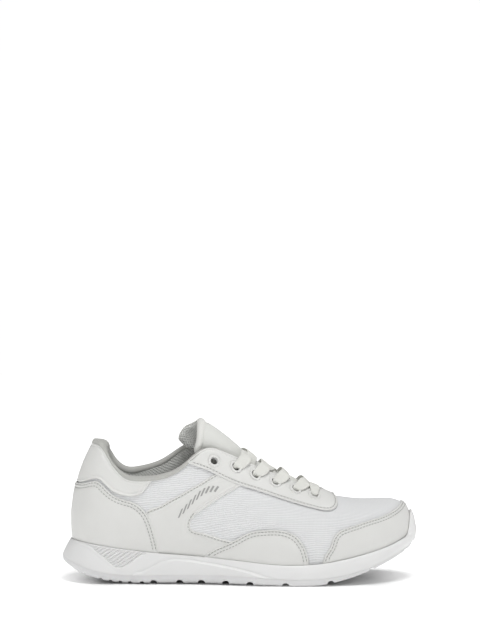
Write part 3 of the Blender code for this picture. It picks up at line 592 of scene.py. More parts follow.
def inset(outline, surface, distance):
    """The closed outline moved inward by a true distance on the surface."""
    e = 0.05
    normal = surface(outline)[1]
    tangent = unit(np.roll(outline, -1, axis=0) - np.roll(outline, 1, axis=0))
    across = np.stack([-tangent[:, 1], tangent[:, 0]], -1)
    if not inside_outline(outline + across * e, outline).mean() > 0.5:
        across = -across
    du = (surface(outline + [e, 0])[0] - surface(outline - [e, 0])[0]) / (2 * e)
    dv = (surface(outline + [0, e])[0] - surface(outline - [0, e])[0]) / (2 * e)
    world_tangent = du * tangent[:, :1] + dv * tangent[:, 1:]
    world_across = unit(np.cross(normal, world_tangent))
    uu, uv, vv = (du * du).sum(1), (du * dv).sum(1), (dv * dv).sum(1)
    ru, rv = (du * world_across).sum(1), (dv * world_across).sum(1)
    det = uu * vv - uv * uv
    step = np.stack([(vv * ru - uv * rv) / det, (uu * rv - uv * ru) / det], -1)
    step *= np.where((step * across).sum(1, keepdims=True) < 0, -1, 1)
    return outline + step * distance


def inset_ring(outline, surface, distance, world):
    """An inset outline, and which of its points keep clear of the outline itself."""
    ring = inset(outline, surface, distance)
    clear = line_distance(surface(ring)[0], world) > 0.93 * abs(distance)
    return ring, clear


def within(points, outline, holes):
    """Which points lie inside the outline and outside every hole."""
    keep = inside_outline(points, outline)
    for hole in holes:
        keep &= ~inside_outline(points, hole)
    return keep


def scatter(outline, holes, surface, worlds, rings, hole_rings, step):
    """The borders, rings of points along them, and a grid over the rest."""
    cloud = [outline, *holes]
    for k, border in enumerate([outline, *holes]):
        for distance in hole_rings if k else rings:
            ring, clear = inset_ring(border, surface, -distance if k else distance, worlds[k])
            cloud.append(ring[clear & inside_outline(ring, outline)])
    lines = [np.arange(start, stop, step) for start, stop in zip(outline.min(0), outline.max(0))]
    grid = np.stack(np.meshgrid(*lines), -1).reshape(-1, 2)
    grid = grid[within(grid, outline, holes)]
    grid_world = surface(grid)[0]
    clear = line_distance(grid_world, worlds[0]) > max(rings, default=0) + 0.4 * step
    for world in worlds[1:]:
        clear &= line_distance(grid_world, world) > max(hole_rings, default=0) + 0.8
    return np.concatenate([*cloud, grid[clear]])


def sheet(name, look, outline, surface, outer, inner, rings, holes=(), step=3.0, hole_rings=()):
    """A closed thin body over a surface.

    `outer` and `inner` give depths below the surface from the flat points, the
    distance to the edge and the distance to the nearest hole.
    """
    worlds = [surface(border)[0] for border in (outline, *holes)]
    points = scatter(outline, holes, surface, worlds, rings, hole_rings, step)
    start, constraints = 0, []
    for ring in [outline, *holes]:
        constraints += [(start + k, start + (k + 1) % len(ring)) for k in range(len(ring))]
        start += len(ring)
    verts, _, faces = geometry.delaunay_2d_cdt([Vector(p) for p in points], constraints, [], 1, 1e-4)[:3]
    flat = np.array([tuple(v) for v in verts])
    keep = within(np.array([flat[list(f)].mean(0) for f in faces]), outline, holes)
    faces = [list(f) for f, ok in zip(faces, keep) if ok]
    used = sorted({k for f in faces for k in f})
    renumber = {old: new for new, old in enumerate(used)}
    flat = flat[used]
    faces = [[renumber[k] for k in f] for f in faces]
    centre, normal = surface(flat)
    edge = line_distance(centre, worlds[0])
    hole_edge = np.min([np.full(len(flat), 99.0), *(line_distance(centre, w) for w in worlds[1:])], axis=0)
    skins = [centre - normal * depth(flat, edge, hole_edge)[:, None] for depth in (outer, inner)]
    count = len(flat)
    sides = {(a, b): True for face in faces for a, b in zip(face, face[1:] + face[:1])}
    solid = faces + [[k + count for k in reversed(f)] for f in faces]
    solid += [[b, a, a + count, b + count] for a, b in sides if (b, a) not in sides]
    return make_piece(name, np.concatenate(skins), solid, look, np.concatenate([flat, flat]))


def bump(x, centre, width):
    """A rounded ridge of height 1."""
    return np.exp(-((x - centre) / width) ** 2)


# ---------------- stitches

STITCH, STITCH_GAP, THREAD_RADIUS = 2.1, 0.75, 0.3
# Along a stitch: share of its length, share of its radius, and lift.
STITCH_SHAPE = [(0.0, 0.25, -0.28), (0.18, 0.9, 0.0), (0.5, 1.0, 0.1), (0.82, 0.9, 0.0), (1.0, 0.25, -0.28)]
STITCH_SIDES, STITCH_FLATNESS = 6, 0.75
stitch_runs = []


def sew(outline, surface, about, distance, depth, wanted):
    """Remember a row of stitches inset from an outline, where wanted(side, s, v) is true."""
    world = surface(outline)[0]
    ring, clear = inset_ring(outline, surface, distance, world)
    side = np.where(ring[:, 0] < 0, -1, 1)
    clear &= inside_outline(ring, outline) & wanted(side, station(ring, about), ring[:, 1])
    centre, normal = surface(ring)
    run = []
    start = int(np.argmin(clear))
    for k in range(len(ring) + 1):
        i = (start + k) % len(ring)
        if k < len(ring) and clear[i]:
            run.append((centre[i] - normal[i] * depth, normal[i]))
        elif run:
            if len(run) > 3:
                stitch_runs.append(run)
            run = []


def build_stitches():
    """Every stitch is a small capsule of thread that dips at both ends."""
    verts, faces = [], []
    for run in stitch_runs:
        points, ups = (np.array([pair[k] for pair in run]) for k in (0, 1))
        along = travelled(points)
        for begin in np.arange(0.3, along[-1] - STITCH, STITCH + STITCH_GAP):
            at = begin + np.array([t for t, _, _ in STITCH_SHAPE]) * STITCH
            middle, up = (np.stack([np.interp(at, along, rows[:, k]) for k in range(3)], -1)
                          for rows in (points, ups))
            wide = unit(np.cross(np.gradient(middle, axis=0), up))
            faces += tube_faces(len(STITCH_SHAPE), STITCH_SIDES, len(verts))
            for k, (_, size, lift) in enumerate(STITCH_SHAPE):
                for a in turns(STITCH_SIDES):
                    rise = lift + STITCH_FLATNESS * THREAD_RADIUS * size * math.sin(a)
                    verts.append(middle[k] + up[k] * rise + wide[k] * (THREAD_RADIUS * size * math.cos(a)))
    # The thread's dark colour is painted shade of the stitch holes.
    return place_piece(make_piece("stitching", verts, faces, SHADED_STITCH_THREAD))


# ---------------- overlays

EYESTAY_EDGE = [(-44, 1), (-35, 12), (-21.5, 21.5), (1, 24), (17, 23), (34, 24), (50, 25), (69, 28),
                (78, 30), (84, 30), (90, 27.7), (95, 24), (101, 19.5), (110, 14.7), (125, 11.2),
                (TOE_END, 10.3)]
TOE_CAP_EDGE = [(TOE_END, 68), (133, 67), (127, 65), (117, 59.5), (104, 53), (96, 51.3), (88, 50.5),
                (83, 51), (78, 54), (74, 62), (69, 70), (67, LOW)]
FOREFOOT_EDGE = [(-33, LOW), (-16, 80), (0, 67), (8, 60.4), (16, 56.3), (25, 53.5), (33, 52),
                 (41, 52.6), (46, 54.5), (50, 58.3), (55, 68), (57, LOW)]
HEEL_EDGE = [(HEEL_END, 38.7), (-141, 37.7), (-128, 34.6), (-117, 30.4), (-107, 27.4), (-99, 22.5),
             (-91, 20), (-84, 22.7), (-77, 30), (-74, 36), (-70.3, 48), (-68.2, 57), (-66, LOW)]
PANEL_EDGE = [(HEEL_END, 38), (-141, 36.7), (-126, 32), (-117, 28.6), (-107, 25.2), (-101, 21),
              (-95, 17.3), (-89, 15.6), (-84, 14.3), (-80, 12), (-77, 8.5), (-74, 4.4), (-73, 2.6)]


def fan_out(s):
    """Station of a point a true distance past the toe centre, where the eyelets are."""
    return s if s < TOE_X else TOE_X + (s - TOE_X) * TOE_REF / EYELET_FAN


def run_row(start, stop, v):
    """Knots of a level row between two stations."""
    return [(start, v), ((start + stop) / 2, v), (stop, v)]


EYESTAY = [("line", run_row(TOE_END, -44, 0)), ("curve", EYESTAY_EDGE)]
TOE_CAP = [("curve", TOE_CAP_EDGE), ("line", [(67, LOW), (TOE_END, LOW)])]
HEEL = [("curve", HEEL_EDGE), ("line", [(-66, LOW), (HEEL_END, LOW)])]
PANEL = [("curve", PANEL_EDGE), ("line", run_row(-73, HEEL_END, 2.2))]
FOREFOOT = [("curve", FOREFOOT_EDGE), ("line", [(57, LOW), (-33, LOW)])]
# The saddle runs on under the heel overlay and the forefoot overlay.
SADDLE = [("curve", [(-72, LOW), (-75, 57), (-77, 48), (-80, 38)]),
          ("curve", [(-80, 38), (-79, 30), (-75, 26.6), (-66, 24.6), (-58, 22.6), (-49, 22.8),
                     (-41, 25.2), (-33, 27), (-26, 25.4), (-21, 22.3)]),
          ("line", [(-21, 22.3), (-20, 18), (6, 18)]),
          ("curve", [(6, 18), (0, 24.6), (-8, 32.6), (-16.5, 40.5), (-25, 47.8), (-33, 50.3),
                     (-38.6, 50.9), (-41, 54.2), (-39.5, 60.4), (-33, 67.5), (-25, 72.3), (-16.5, 73.6),
                     (-6, 73), (4, 74)]),
          ("line", [(4, 74), (-14, LOW)]), ("line", [(-14, LOW), (-72, LOW)])]

OVERLAY_RINGS = (0.22, 0.5, 0.85, 1.25, 1.7, 2.2, 2.7, 3.3, 3.9, 4.5, 5.4)
HOLE_RINGS = (0.25, 0.6, 1.2, 1.9, 2.15, 2.45, 2.9)
SHEET_THICK = 0.95


def stitched_sheet(rows, base, bead=0.16):
    """Depth functions of a cut sheet with rolled edges, stitch grooves and eyelet rings."""
    def outer(flat, edge, hole):
        rise = SHEET_THICK * 0.95 * (1 - smooth(edge / 0.6)) - bead * bump(edge, 0.95, 0.5)
        for row in rows:
            rise += 0.4 * bump(edge, row, 0.55)
        ring = smooth((hole - 0.2) / 0.4) * (1 - smooth((hole - 1.9) / 0.35))
        rise += 0.8 * (1 - smooth(hole / 0.4)) - 0.7 * ring + 0.35 * bump(hole, 2.4, 0.25)
        c, v = flat[:, 0], flat[:, 1]
        wrinkle = 0.10 * np.sin(c * 0.21 + 1.7 * np.sin(v * 0.13)) * np.sin(v * 0.17)
        return base + rise + wrinkle * smooth((edge - 2) / 6)

    return outer, level_depth(base + SHEET_THICK)


def level_depth(depth):
    """Depth function of an evenly deep face."""
    return lambda flat, edge, hole: np.full(len(flat), depth)


def eyelet_outlines(pairs, about="toe", sides=(-1, 1)):
    """Round eyelet holes in the flat (c, v) plane."""
    end, sign = CENTRE[about]
    holes = []
    for side in sides:
        for s, v in pairs:
            ring_s = np.array([fan_out(a) for a in s + EYELET_RADIUS * 0.95 * np.cos(turns(20))])
            holes.append(np.stack([side * sign * (ring_s - end), v + EYELET_RADIUS * np.sin(turns(20))], -1))
    return holes


def above_sole(margin):
    """Stitch rows stop short of the lower edge and stay off the top edge."""
    def wanted(side, s, v):
        lowest = sections(side.astype(float), s)[1][:, -2]
        return (v > 5) & (v < lowest - margin)
    return wanted


def off_window_edge(side, s, v):
    """The saddle's slanting edge above the mesh window is beaded, not stitched."""
    beaded = (v < 52) & (s + 1.03 * (v - 18) > -6)
    return above_sole(1.0)(side, s, v) & ~beaded


def overlay(name, runs, about, rows, level, sides=(0,), holes=(), thread_rows=None, wanted=None, bead=0.16):
    """One stitched overlay; side 0 crosses the centre line."""
    surface = upper_surface(about)
    base = -0.25 - 0.6 * level
    for side in sides:
        outline = whole_outline(runs, about) if side == 0 else side_outline(runs, side, about)
        full = name if side == 0 else name + ("_lateral" if side < 0 else "_medial")
        outer, inner = stitched_sheet(rows, base, bead)
        obj = sheet(full + "_cover", LEATHER, outline, surface, outer, inner, OVERLAY_RINGS, holes,
                    3.0, HOLE_RINGS if len(holes) else ())
        place_piece(obj, [full])
        for row in rows if thread_rows is None else thread_rows:
            sew(outline, surface, about, row, base + 0.12, wanted or above_sole(1.0))


def build_overlays():
    both = (-1, 1)
    overlay("eyestay", EYESTAY, "toe", (2.2,), 1.3, holes=eyelet_outlines(EYELETS))
    overlay("toe_cap", TOE_CAP, "toe", (1.7, 3.9), 0.6)
    overlay("heel_overlay", HEEL, "heel", (1.7, 4.2), 1.2)
    overlay("collar_panel", PANEL, "heel", (2.4,), 0.5, thread_rows=(), bead=0.3)
    overlay("forefoot_overlay", FOREFOOT, "heel", (1.7, 4.2), 1.2, both)
    overlay("saddle", SADDLE, "heel", (1.7, 4.2), 0.0, both, thread_rows=(1.7,), wanted=off_window_edge,
            bead=0.3)


# ---------------- mesh base

COVERS = [(EYESTAY, "toe", 0), (TOE_CAP, "toe", 0), (HEEL, "heel", 0), (PANEL, "heel", 0),
          (FOREFOOT, "heel", 1), (SADDLE, "heel", 1)]


def bare_distance(s, v):
    """Distance from the nearest overlay, or 0 beneath one."""
    best = np.full(len(s), 99.0)
    here = np.stack([s - HEEL_END, v], -1)
    for runs, about, mirrored in COVERS:
        points = half_outline(runs, 1, "heel", 4.0)
        if not mirrored:
            flip = points[::-1].copy()
            flip[:, 0] = 2 * (CENTRE[about][0] - HEEL_END) - flip[:, 0]
            points = np.concatenate([points, flip[1:-1]])
        best = np.minimum(best, np.where(inside_outline(here, points), 0, line_distance(here, points)))
    return best


MESH_FACE, MESH_BACK = 0.75, 2.3    # depths of the two faces of the mesh beneath an overlay
PUFF_REACH = 12.0                   # distance from the overlays at which the mesh is full


def mesh_face(about):
    """Depth of the mesh's outer face: it puffs out between the overlays."""
    def outer(flat, edge, hole):
        bare = bare_distance(station(flat, about), flat[:, 1])
        return MESH_FACE * (1 - smooth(bare / PUFF_REACH))
    return outer


def mesh_sheet(node_name, outline, about, holes):
    """One piece of the knitted mesh base."""
    cloth = sheet(node_name + "_cloth", MESH_CLOTH, outline, upper_surface(about), mesh_face(about),
                  level_depth(MESH_BACK), (0.8,), holes, 2.6, (0.8,))
    place_piece(cloth, [node_name])


def build_base():
    vamp = [("line", run_row(TOE_END, -10, 1)),
            ("line", [(-10, 1), (-10, 26), (-30, 38), (-50, 52), (-58, LOW)]),
            ("line", [(-58, LOW), (TOE_END, LOW)])]
    mesh_sheet("vamp_mesh", whole_outline(vamp, "toe"), "toe", eyelet_outlines(EYELETS[:5]))
    quarter = [("line", run_row(-150, -11.2, 1)),
               ("line", [(-11.2, 1), (-11.2, 25.4), (-31.2, 37.2), (-51.2, 51.2), (-59.4, LOW)]),
               ("line", [(-59.4, LOW), (-150, LOW)]), ("line", [(-150, LOW), (-150, 1)])]
    for side, tag in ((-1, "lateral"), (1, "medial")):
        mesh_sheet("quarter_mesh_" + tag, side_outline(quarter, side), "heel",
                   eyelet_outlines(EYELETS[5:], "heel", (side,)))


# ---------------- lining and collar

def lining_depths(about, puff=0.0):
    def outer(flat, edge, hole):
        return lining_depth(station(flat, about), flat[:, 1])

    def inner(flat, edge, hole):
        s, v = station(flat, about), flat[:, 1]
        ripple = 0.25 * np.sin(s * 0.23) * np.sin(v * 0.19 + 0.7)
        return lining_inside(s, v) + puff * bump(v, 14, 12) + ripple
    return outer, inner


def lining_outline(about, edge):
    """The lining from the heel or toe centre line to a vertical edge, from top to bottom."""
    centre = CENTRE[about][0]
    return whole_outline([("line", run_row(centre, edge, LINING_RIM)),
                          ("line", [(edge, LINING_RIM), (edge, LOW)]),
                          ("line", [(edge, LOW), (centre, LOW)])], about)


def build_lining():
    padding = sheet("collar_lining_cloth", LINING, lining_outline("heel", -36), upper_surface("heel"),
                    *lining_depths("heel", 0.5), (0.8,), (), 3.0)
    place_piece(padding, ["collar_lining", "collar_foam"])
    cloth = sheet("vamp_lining_cloth", LINING, lining_outline("toe", -35.4), upper_surface("toe"),
                  *lining_depths("toe"), (), eyelet_outlines(EYELETS), 4.5)
    place_piece(cloth, ["vamp_lining"])


def ribbon(name, look, frames, rings):
    """Loft of closed rings through (point, across, up) frames; UVs run along and across."""
    verts, uv = [], []
    for (point, across, up), ring, along in zip(frames, rings, travelled([f[0] for f in frames])):
        verts += [point + across * a + up * b for a, b in ring]
        uv += [(along, a) for a, _ in ring]
    return make_piece(name, verts, tube_faces(len(frames), len(rings[0])), look, uv, 60)


ROLL_END = 57.0         # the roll runs on, thin, along both sides of the throat
ROLL_STEP = 1.6


def build_collar_binding():
    """A soft roll of lining cloth over the collar edge, wider where the collar is thicker."""
    frames, rings = [], []
    outer_side = [(-1, s) for s in np.arange(ROLL_END, HEEL_END, -ROLL_STEP)]
    inner_side = [(1, s) for s in np.arange(HEEL_END, ROLL_END, ROLL_STEP)]
    for side, s in outer_side + inner_side:
        s = float(s)
        thick = float(lining_inside(s, 0.0))
        outward = normals(side, s, 1.0)[0]
        rim = place(side, s, 0.0)[0]
        up = rim - place(side, s, 2.0)[0]
        frames.append((rim, outward, unit(up - outward * (up @ outward))))
        fade = float(smooth((-27 - s) / 14 + 0.25))
        over = 0.25 + 0.85 * fade
        rings.append([(0.45 * over, -2.9 * over), (0.9 * over, -2.3 * over), (over, -1.0 * over),
                      (0.7 * over, 0.3), (-0.2 * thick, 1.2 * fade + 0.2), (-0.5 * thick, 1.8 * fade + 0.2),
                      (-0.8 * thick, 1.5 * fade), (-thick - 0.4, -0.3), (-thick - 0.7, -2.2),
                      (-thick + 0.2, -3.6), (-0.5 * thick, -2.0)])
    obj = ribbon("collar_binding_roll", BINDING, frames, rings)
    place_piece(obj, ["collar_binding"])


# ---------------- tongue

TONGUE_LINE = [(80, 63.4), (70, 67.4), (62, 71), (52, 77), (44, 81.3), (33, 86.8), (22, 92.8),
               (15, 97.4), (8.4, 102.2), (0, 109.4), (-7, 115.6), (-15, 121.9), (-25, 129), (-33, 134.5),
               (-42, 140.5)]
TONGUE_RADIUS = spline([(-33, 21), (-20, 18.6), (FOLD_X, 16.4), (0, 15.4), (33, 15), (50, 16.4),
                        (62, 20), (80, 28)])
TONGUE_FOAM = spline([(-33, 4), (30, 4), (55, 2.4), (80, 1.2)])


def tongue_line():
    """Dense centre line of the tongue's face from front to top, with lengths."""
    knots = np.array(TONGUE_LINE, float)
    height = spline(sorted((x, z) for x, z in TONGUE_LINE))
    x = np.linspace(knots[0, 0], knots[-1, 0], 240)
    line = np.stack([x, height(x)], -1)
    return line, travelled(line)


LINE, LINE_LENGTH = tongue_line()


def tongue_u(x):
    """Length along the tongue at which its centre line passes X."""
    return float(np.interp(-x, -LINE[:, 0], LINE_LENGTH))


FOLD_U = tongue_u(FOLD_X)
TONGUE_TOP = tongue_u(-33)


def tongue_frame(u, w):
    """Point and outward normal of the tongue's face; w runs across, - is the outer side."""
    x, z = (np.interp(u, LINE_LENGTH, LINE[:, k]) for k in (0, 1))
    before, after = (np.stack([np.interp(u + d, LINE_LENGTH, LINE[:, k]) for k in (0, 1)], -1)
                     for d in (-1.5, 1.5))
    along = unit(after - before)
    radius = TONGUE_RADIUS(x)
    turn = np.clip(w / radius, -math.pi / 2, math.pi / 2)
    drop = radius * (1 - np.cos(turn)) + np.abs(w) - np.abs(turn) * radius
    up = np.stack([along[..., 1], np.zeros_like(x), -along[..., 0]], -1)
    y = radius * np.sin(turn) + swing(x)
    point = np.stack([x, y, z], -1) - up * drop[..., None]
    normal = up * np.cos(turn)[..., None] + np.stack([0 * x, np.sin(turn), 0 * x], -1)
    return point, normal


TONGUE_HALF = [(0, 16), (16, 22), (45, 28), (78, 32), (FOLD_U, 33), (FOLD_U + 10, 35.5), (FOLD_U + 20, 38.5)]


TONGUE_ROUND = 2.6      # how far from its edge the padded tongue is rounded
TAPE_REACH = 22.0       # how far the edge tape runs on below the fold
BLEND_REACH = 9.0       # distance on either side of the fold of two points that bend_with_flap finds but does not use


def tongue_surface(points):
    return tongue_frame(points[:, 1], points[:, 0])


def tongue_outline():
    """Closed (w, u) outline, its top edge slanting up to the inner side with round corners."""
    outer = [(-w, u) for u, w in TONGUE_HALF[:-1]] + [(-36.8, TONGUE_TOP - 15), (-36.4, TONGUE_TOP - 12)]
    top = [(-36.4, TONGUE_TOP - 12), (-34.6, TONGUE_TOP - 9.9), (-30, TONGUE_TOP - 8),
           (-20, TONGUE_TOP - 4.5), (-9, TONGUE_TOP - 1.2), (0, TONGUE_TOP + 0.4),
           (20, TONGUE_TOP + 2.6), (34, TONGUE_TOP + 4.2), (38.6, TONGUE_TOP + 1.5)]
    inner = [(38.6, TONGUE_TOP + 1.5), (39.5, TONGUE_TOP - 3)] + [(w, u) for u, w in reversed(TONGUE_HALF)]
    runs = [curve_through(outer, 1.5), curve_through(top, 1.5)[1:], curve_through(inner, 1.5)[1:],
            straight_through([(16, 0), (-16, 0)], 1.5)[1:-1]]
    return np.concatenate(runs)


def tongue_thickness(flat):
    return 2.6 + TONGUE_FOAM(np.interp(flat[:, 1], LINE_LENGTH, LINE[:, 0]))


def tongue_roll(flat, edge):
    """How far a face of the padded tongue turns in toward its edge."""
    roll = 1 - np.sqrt(np.clip(1 - (1 - np.clip(edge / TONGUE_ROUND, 0, 1)) ** 2, 0, 1))
    return 0.5 * tongue_thickness(flat) * roll * 0.9


def tongue_pad(flat, edge, hole):
    """Depth of the padded face, with a stitched channel near its edge."""
    return 0.5 * bump(edge, 6.5, 1.0) - 0.5 * smooth(edge / 9) + tongue_roll(flat, edge)


def tongue_back(flat, edge, hole):
    return tongue_thickness(flat) - 0.5 - tongue_roll(flat, edge)


def tongue_cushion_back(flat, edge, hole):
    return tongue_back(flat, edge, hole) - 0.2


def tongue_lining_inner(flat, edge, hole):
    """The lining is thinner where it meets the edge."""
    return tongue_back(flat, edge, hole) + 0.55 * smooth(edge / 1.2)


def tongue_lining_outer(flat, edge, hole):
    return tongue_back(flat, edge, hole) - 0.25


def bend_with_flap(obj):
    """Bake a tongue piece's placement into its mesh; the points either side of the fold are found but not
    used.
    """
    start, end = (tongue_frame(np.array([FOLD_U + reach]), np.array([0.0]))[0][0] * MM
                  for reach in (-BLEND_REACH, BLEND_REACH))
    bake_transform(obj)


def build_tongue():
    outline = tongue_outline()
    face = sheet("tongue_cushion", TONGUE_CLOTH, outline, tongue_surface, tongue_pad, tongue_cushion_back,
                 (0.3, 0.7, 1.3, 2.0, 2.8, 4.2, 5.6, 6.5, 7.4), (), 2.6)
    back = sheet("tongue_lining_cloth", LINING, outline, tongue_surface, tongue_lining_outer,
                 tongue_lining_inner, (0.5, 1.2, 2.0, 2.8), (), 2.6)
    for obj, slot, nodes in ((face, "tongue_cloth", ["tongue_face", "tongue_foam", "tongue_flap_face",
                                                     "tongue_flap_foam"]),
                             (back, "lining_cloth", ["tongue_lining", "tongue_flap_lining"])):
        bend_with_flap(obj)
        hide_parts(*nodes)
    build_tongue_binding(outline)


def build_tongue_binding(outline):
    """A woven tape folded over the free edge of the tongue."""
    start = FOLD_U - TAPE_REACH
    along = [k for k in range(len(outline)) if outline[k][1] > start]
    first = next(k for k in along if outline[k - 1][1] <= start)
    frames, rings = [], []
    for k in ((first + k) % len(outline) for k in range(len(along))):
        p = outline[k]
        point, up = (a[0] for a in tongue_surface(p[None]))
        before, after, inner = (tongue_surface(q[None])[0][0] for q in (
            outline[k - 1], outline[(k + 1) % len(outline)], p + (outline.mean(0) - p) * 0.01))
        across = unit(np.cross(up, after - before))
        across *= 1 if across @ (inner - point) < 0 else -1
        frames.append((point, across, up))
        half = 0.5 * float(tongue_thickness(p[None])[0]) * 0.96
        rings.append([(-4.6, -0.1), (-4.2, 0.75), (-3.0, 0.95), (-1.2, 0.7), (0.1, -0.1), (0.75, -half),
                      (0.4, -1.3 * half), (-0.6, -1.2 * half), (-2.4, -0.8)])
    band = ribbon("tongue_edge_tape", TONGUE_BAND, frames, rings)
    bend_with_flap(band)
    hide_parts("tongue_flap_binding")


# ---------------- lace

UNDER, OVER = 5.2, -1.9     # depth of the lace below and above a facing
NARROW = 4.8                # width of the lace where it is gathered in an eyelet
THROUGH = 3.4               # depth at which the lace leaves an eyelet
ON_TONGUE = 1.3             # height of the lace over the tongue
CROSS_LIFT, EDGE_CLIMB = 1.8, 4.4   # more height over another strand, and by the throat edge
BAR_LIFT = 4.6              # height of the lowest, straight strand
LACE_THICK = 1.15
LACE_SWELL = 1.12           # how much wider the woven cord is than its frames
LACE_SIDES = 14


def facing_frame(side, eyelet, along, down, depth, width, face):
    """Lace frame by an eyelet; face +1 or -1 is the side of the lace that looks out."""
    s, v = eyelet[0] + along, eyelet[1] + down
    return offset(side, s, v, depth)[0], face * normals(side, s, v)[0], width


def eyelet_frame(side, eyelet, depth, face):
    """Lace frame inside an eyelet, where the lace runs along the normal."""
    s, v = eyelet
    down = place(side, s, v + 1)[0] - place(side, s, v - 1)[0]
    return offset(side, s, v, depth)[0], face * unit(down), NARROW


def tongue_lace_frame(x, w, height, face):
    """Lace frame over the tongue."""
    point, normal = tongue_frame(np.array([tongue_u(x)]), np.array([float(w)]))
    return point[0] + normal[0] * height, face * normal[0], LACE_WIDTH


def crossing(side, lower, upper, raised, face):
    """From inside one eyelet, under its facing, over the other facing and in again."""
    frames = [facing_frame(side, lower, 0, -0.5, UNDER, NARROW, face),
              facing_frame(side, lower, -1.0, -5.5, UNDER, 6.0, face)]
    for share, reach in ((0.24, 0.12), (0.38, 0.2), (0.5, 0.29), (0.62, 0.38), (0.74, 0.48)):
        x = lower[0] + (upper[0] - lower[0]) * reach
        w = side * (1 - 2 * share) * 1.2 * float(TOP_R(x))
        lift = CROSS_LIFT if raised and 0.3 < share < 0.7 else 0.0
        climb = EDGE_CLIMB if share > 0.7 else 0.0
        frames.append(tongue_lace_frame(x, w, ON_TONGUE + lift + climb, face))
    frames += [facing_frame(-side, upper, 7.6, -upper[1] - 1.5, OVER - 2.8, 9.0, face),
               facing_frame(-side, upper, 4.4, -4.8, OVER - 0.3, 8.8, face),
               facing_frame(-side, upper, 0.9, -0.9, OVER, 6.4, face),
               eyelet_frame(-side, upper, 0.0, face),
               eyelet_frame(-side, upper, THROUGH, face)]
    return frames


# Free end of the lace inside the shoe: station, v and width.
TAIL = [(-5, 13, 3.0), (-13, 18, 5.4), (-26, 25, 6), (-42, 31, 6), (-56, 33, 6), (-66, 33, 6),
        (-76, 32, 3.4)]


def tail(side, face):
    """The free end, laid along the inside of the lining."""
    frames = []
    for s, v, width in TAIL:
        depth = float(lining_inside(s, v)) + 2.2
        frames.append((offset(side, s, v, depth)[0], face * normals(side, s, v)[0], width))
    return frames


def lace_half(side):
    """Frames from the lowest eyelet on one side up to the free end."""
    frames = [eyelet_frame(side, EYELETS[0], 0.0, 1), eyelet_frame(side, EYELETS[0], THROUGH, 1)]
    face = 1
    for k in range(4):
        face = -face
        frames += crossing(side, EYELETS[k], EYELETS[k + 1], (side > 0) == (k % 2 == 0), face)
        side = -side
    return frames + tail(side, face)


def chaikin(values):
    """Cut the corners of a polyline once, keeping its ends."""
    quarter = values[:-1] * 0.75 + values[1:] * 0.25
    three = values[:-1] * 0.25 + values[1:] * 0.75
    between = np.stack([quarter, three], 1).reshape(-1, values.shape[1])
    return np.concatenate([values[:1], between, values[-1:]])


def lace_frames():
    """Frames along the lace from the outer-side tip to the inner-side tip."""
    low_eyelet = EYELETS[0]
    outer, inner = ([facing_frame(side, low_eyelet, 0, down, OVER, width, 1)
                     for down, width in ((-0.4, NARROW), (-5, 7), (-12, LACE_WIDTH))] for side in (-1, 1))
    bar = [*outer, tongue_lace_frame(low_eyelet[0], 0, BAR_LIFT, 1), *reversed(inner)]
    path = list(reversed(lace_half(-1))) + bar + lace_half(1)
    values = np.array([[*p, *u, w] for p, u, w in path])
    for _ in range(3):
        values = chaikin(values)
    line, up, width = values[:, :3], values[:, 3:6], values[:, 6]
    tangent = unit(np.gradient(line, axis=0))
    up = unit(up - tangent * (up * tangent).sum(1, keepdims=True))
    return line, up, np.cross(up, tangent), width


def build_lace():
    line, up, wide, width = lace_frames()
    turn = turns(LACE_SIDES)
    round_x = np.sign(np.cos(turn)) * np.abs(np.cos(turn)) ** 0.45
    round_y = np.sign(np.sin(turn)) * np.abs(np.sin(turn)) ** 0.6
    crown = 0.18 * (1 - round_x ** 2) * np.sign(round_y)
    rings = []
    for full in width:
        half = full * LACE_SWELL / 2
        thick = LACE_THICK * (1 + 0.9 * float(smooth((4.6 - full) / 1.8)))
        rings.append(np.stack([round_x * half, (round_y / 2 + crown) * thick], -1))
    place_piece(ribbon("lace_braid", LACE_CORD, list(zip(line, wide, up)), rings), ["lace"])
    for name, last, step in (("aglet_lateral", 0, 8), ("aglet_medial", -1, -9)):
        tip = line[last]
        back = unit(line[last + step] - tip)
        shape = ((-0.6, 0.55), (-0.3, 0.9), (0.2, 1.05), (8, 1.1), (14.8, 1.15), (15.3, 1.0))
        frames = [(tip - back * d, wide[last], up[last]) for d, _ in shape]
        rings = [[(radius * math.cos(a), radius * 0.9 * math.sin(a)) for a in turn] for _, radius in shape]
        place_piece(ribbon(name + "_tip", AGLET, frames, rings), [name])


# ---------------- printed bars

BARS = 9
BAR_START, BAR_STEP = np.array([-49.0, 38.4]), np.array([3.7, -0.55])
BAR_LENGTH, BAR_WIDTH = np.array([1.5, -2.6]), np.array([0.75, 0.25])


def build_print():
    """A row of short slanted bars printed along the saddle strap of each side."""
    surface = upper_surface("heel")
    verts, faces = [], []
    for side in (-1, 1):
        for k in range(BARS):
            centre = BAR_START + BAR_STEP * k - (HEEL_END, 0)
            corners = np.array([centre + BAR_LENGTH * t + BAR_WIDTH * w
                                for t in (-1, -0.33, 0.33, 1) for w in (-1, 1)])
            corners[:, 0] *= side
            point, normal = surface(corners)
            first = len(verts)
            for depth in (-0.42, -0.15):
                verts += list(point - normal * depth)
            for t in range(3):
                a = first + 2 * t
                faces += [[a, a + 1, a + 3, a + 2], [a + 10, a + 11, a + 9, a + 8],
                          [a, a + 2, a + 10, a + 8], [a + 3, a + 1, a + 9, a + 11]]
            faces += [[first + 1, first, first + 8, first + 9],
                      [first + 6, first + 7, first + 15, first + 14]]
    place_piece(make_piece("strap_print", verts, faces, PRINT))


# ---------------- sole

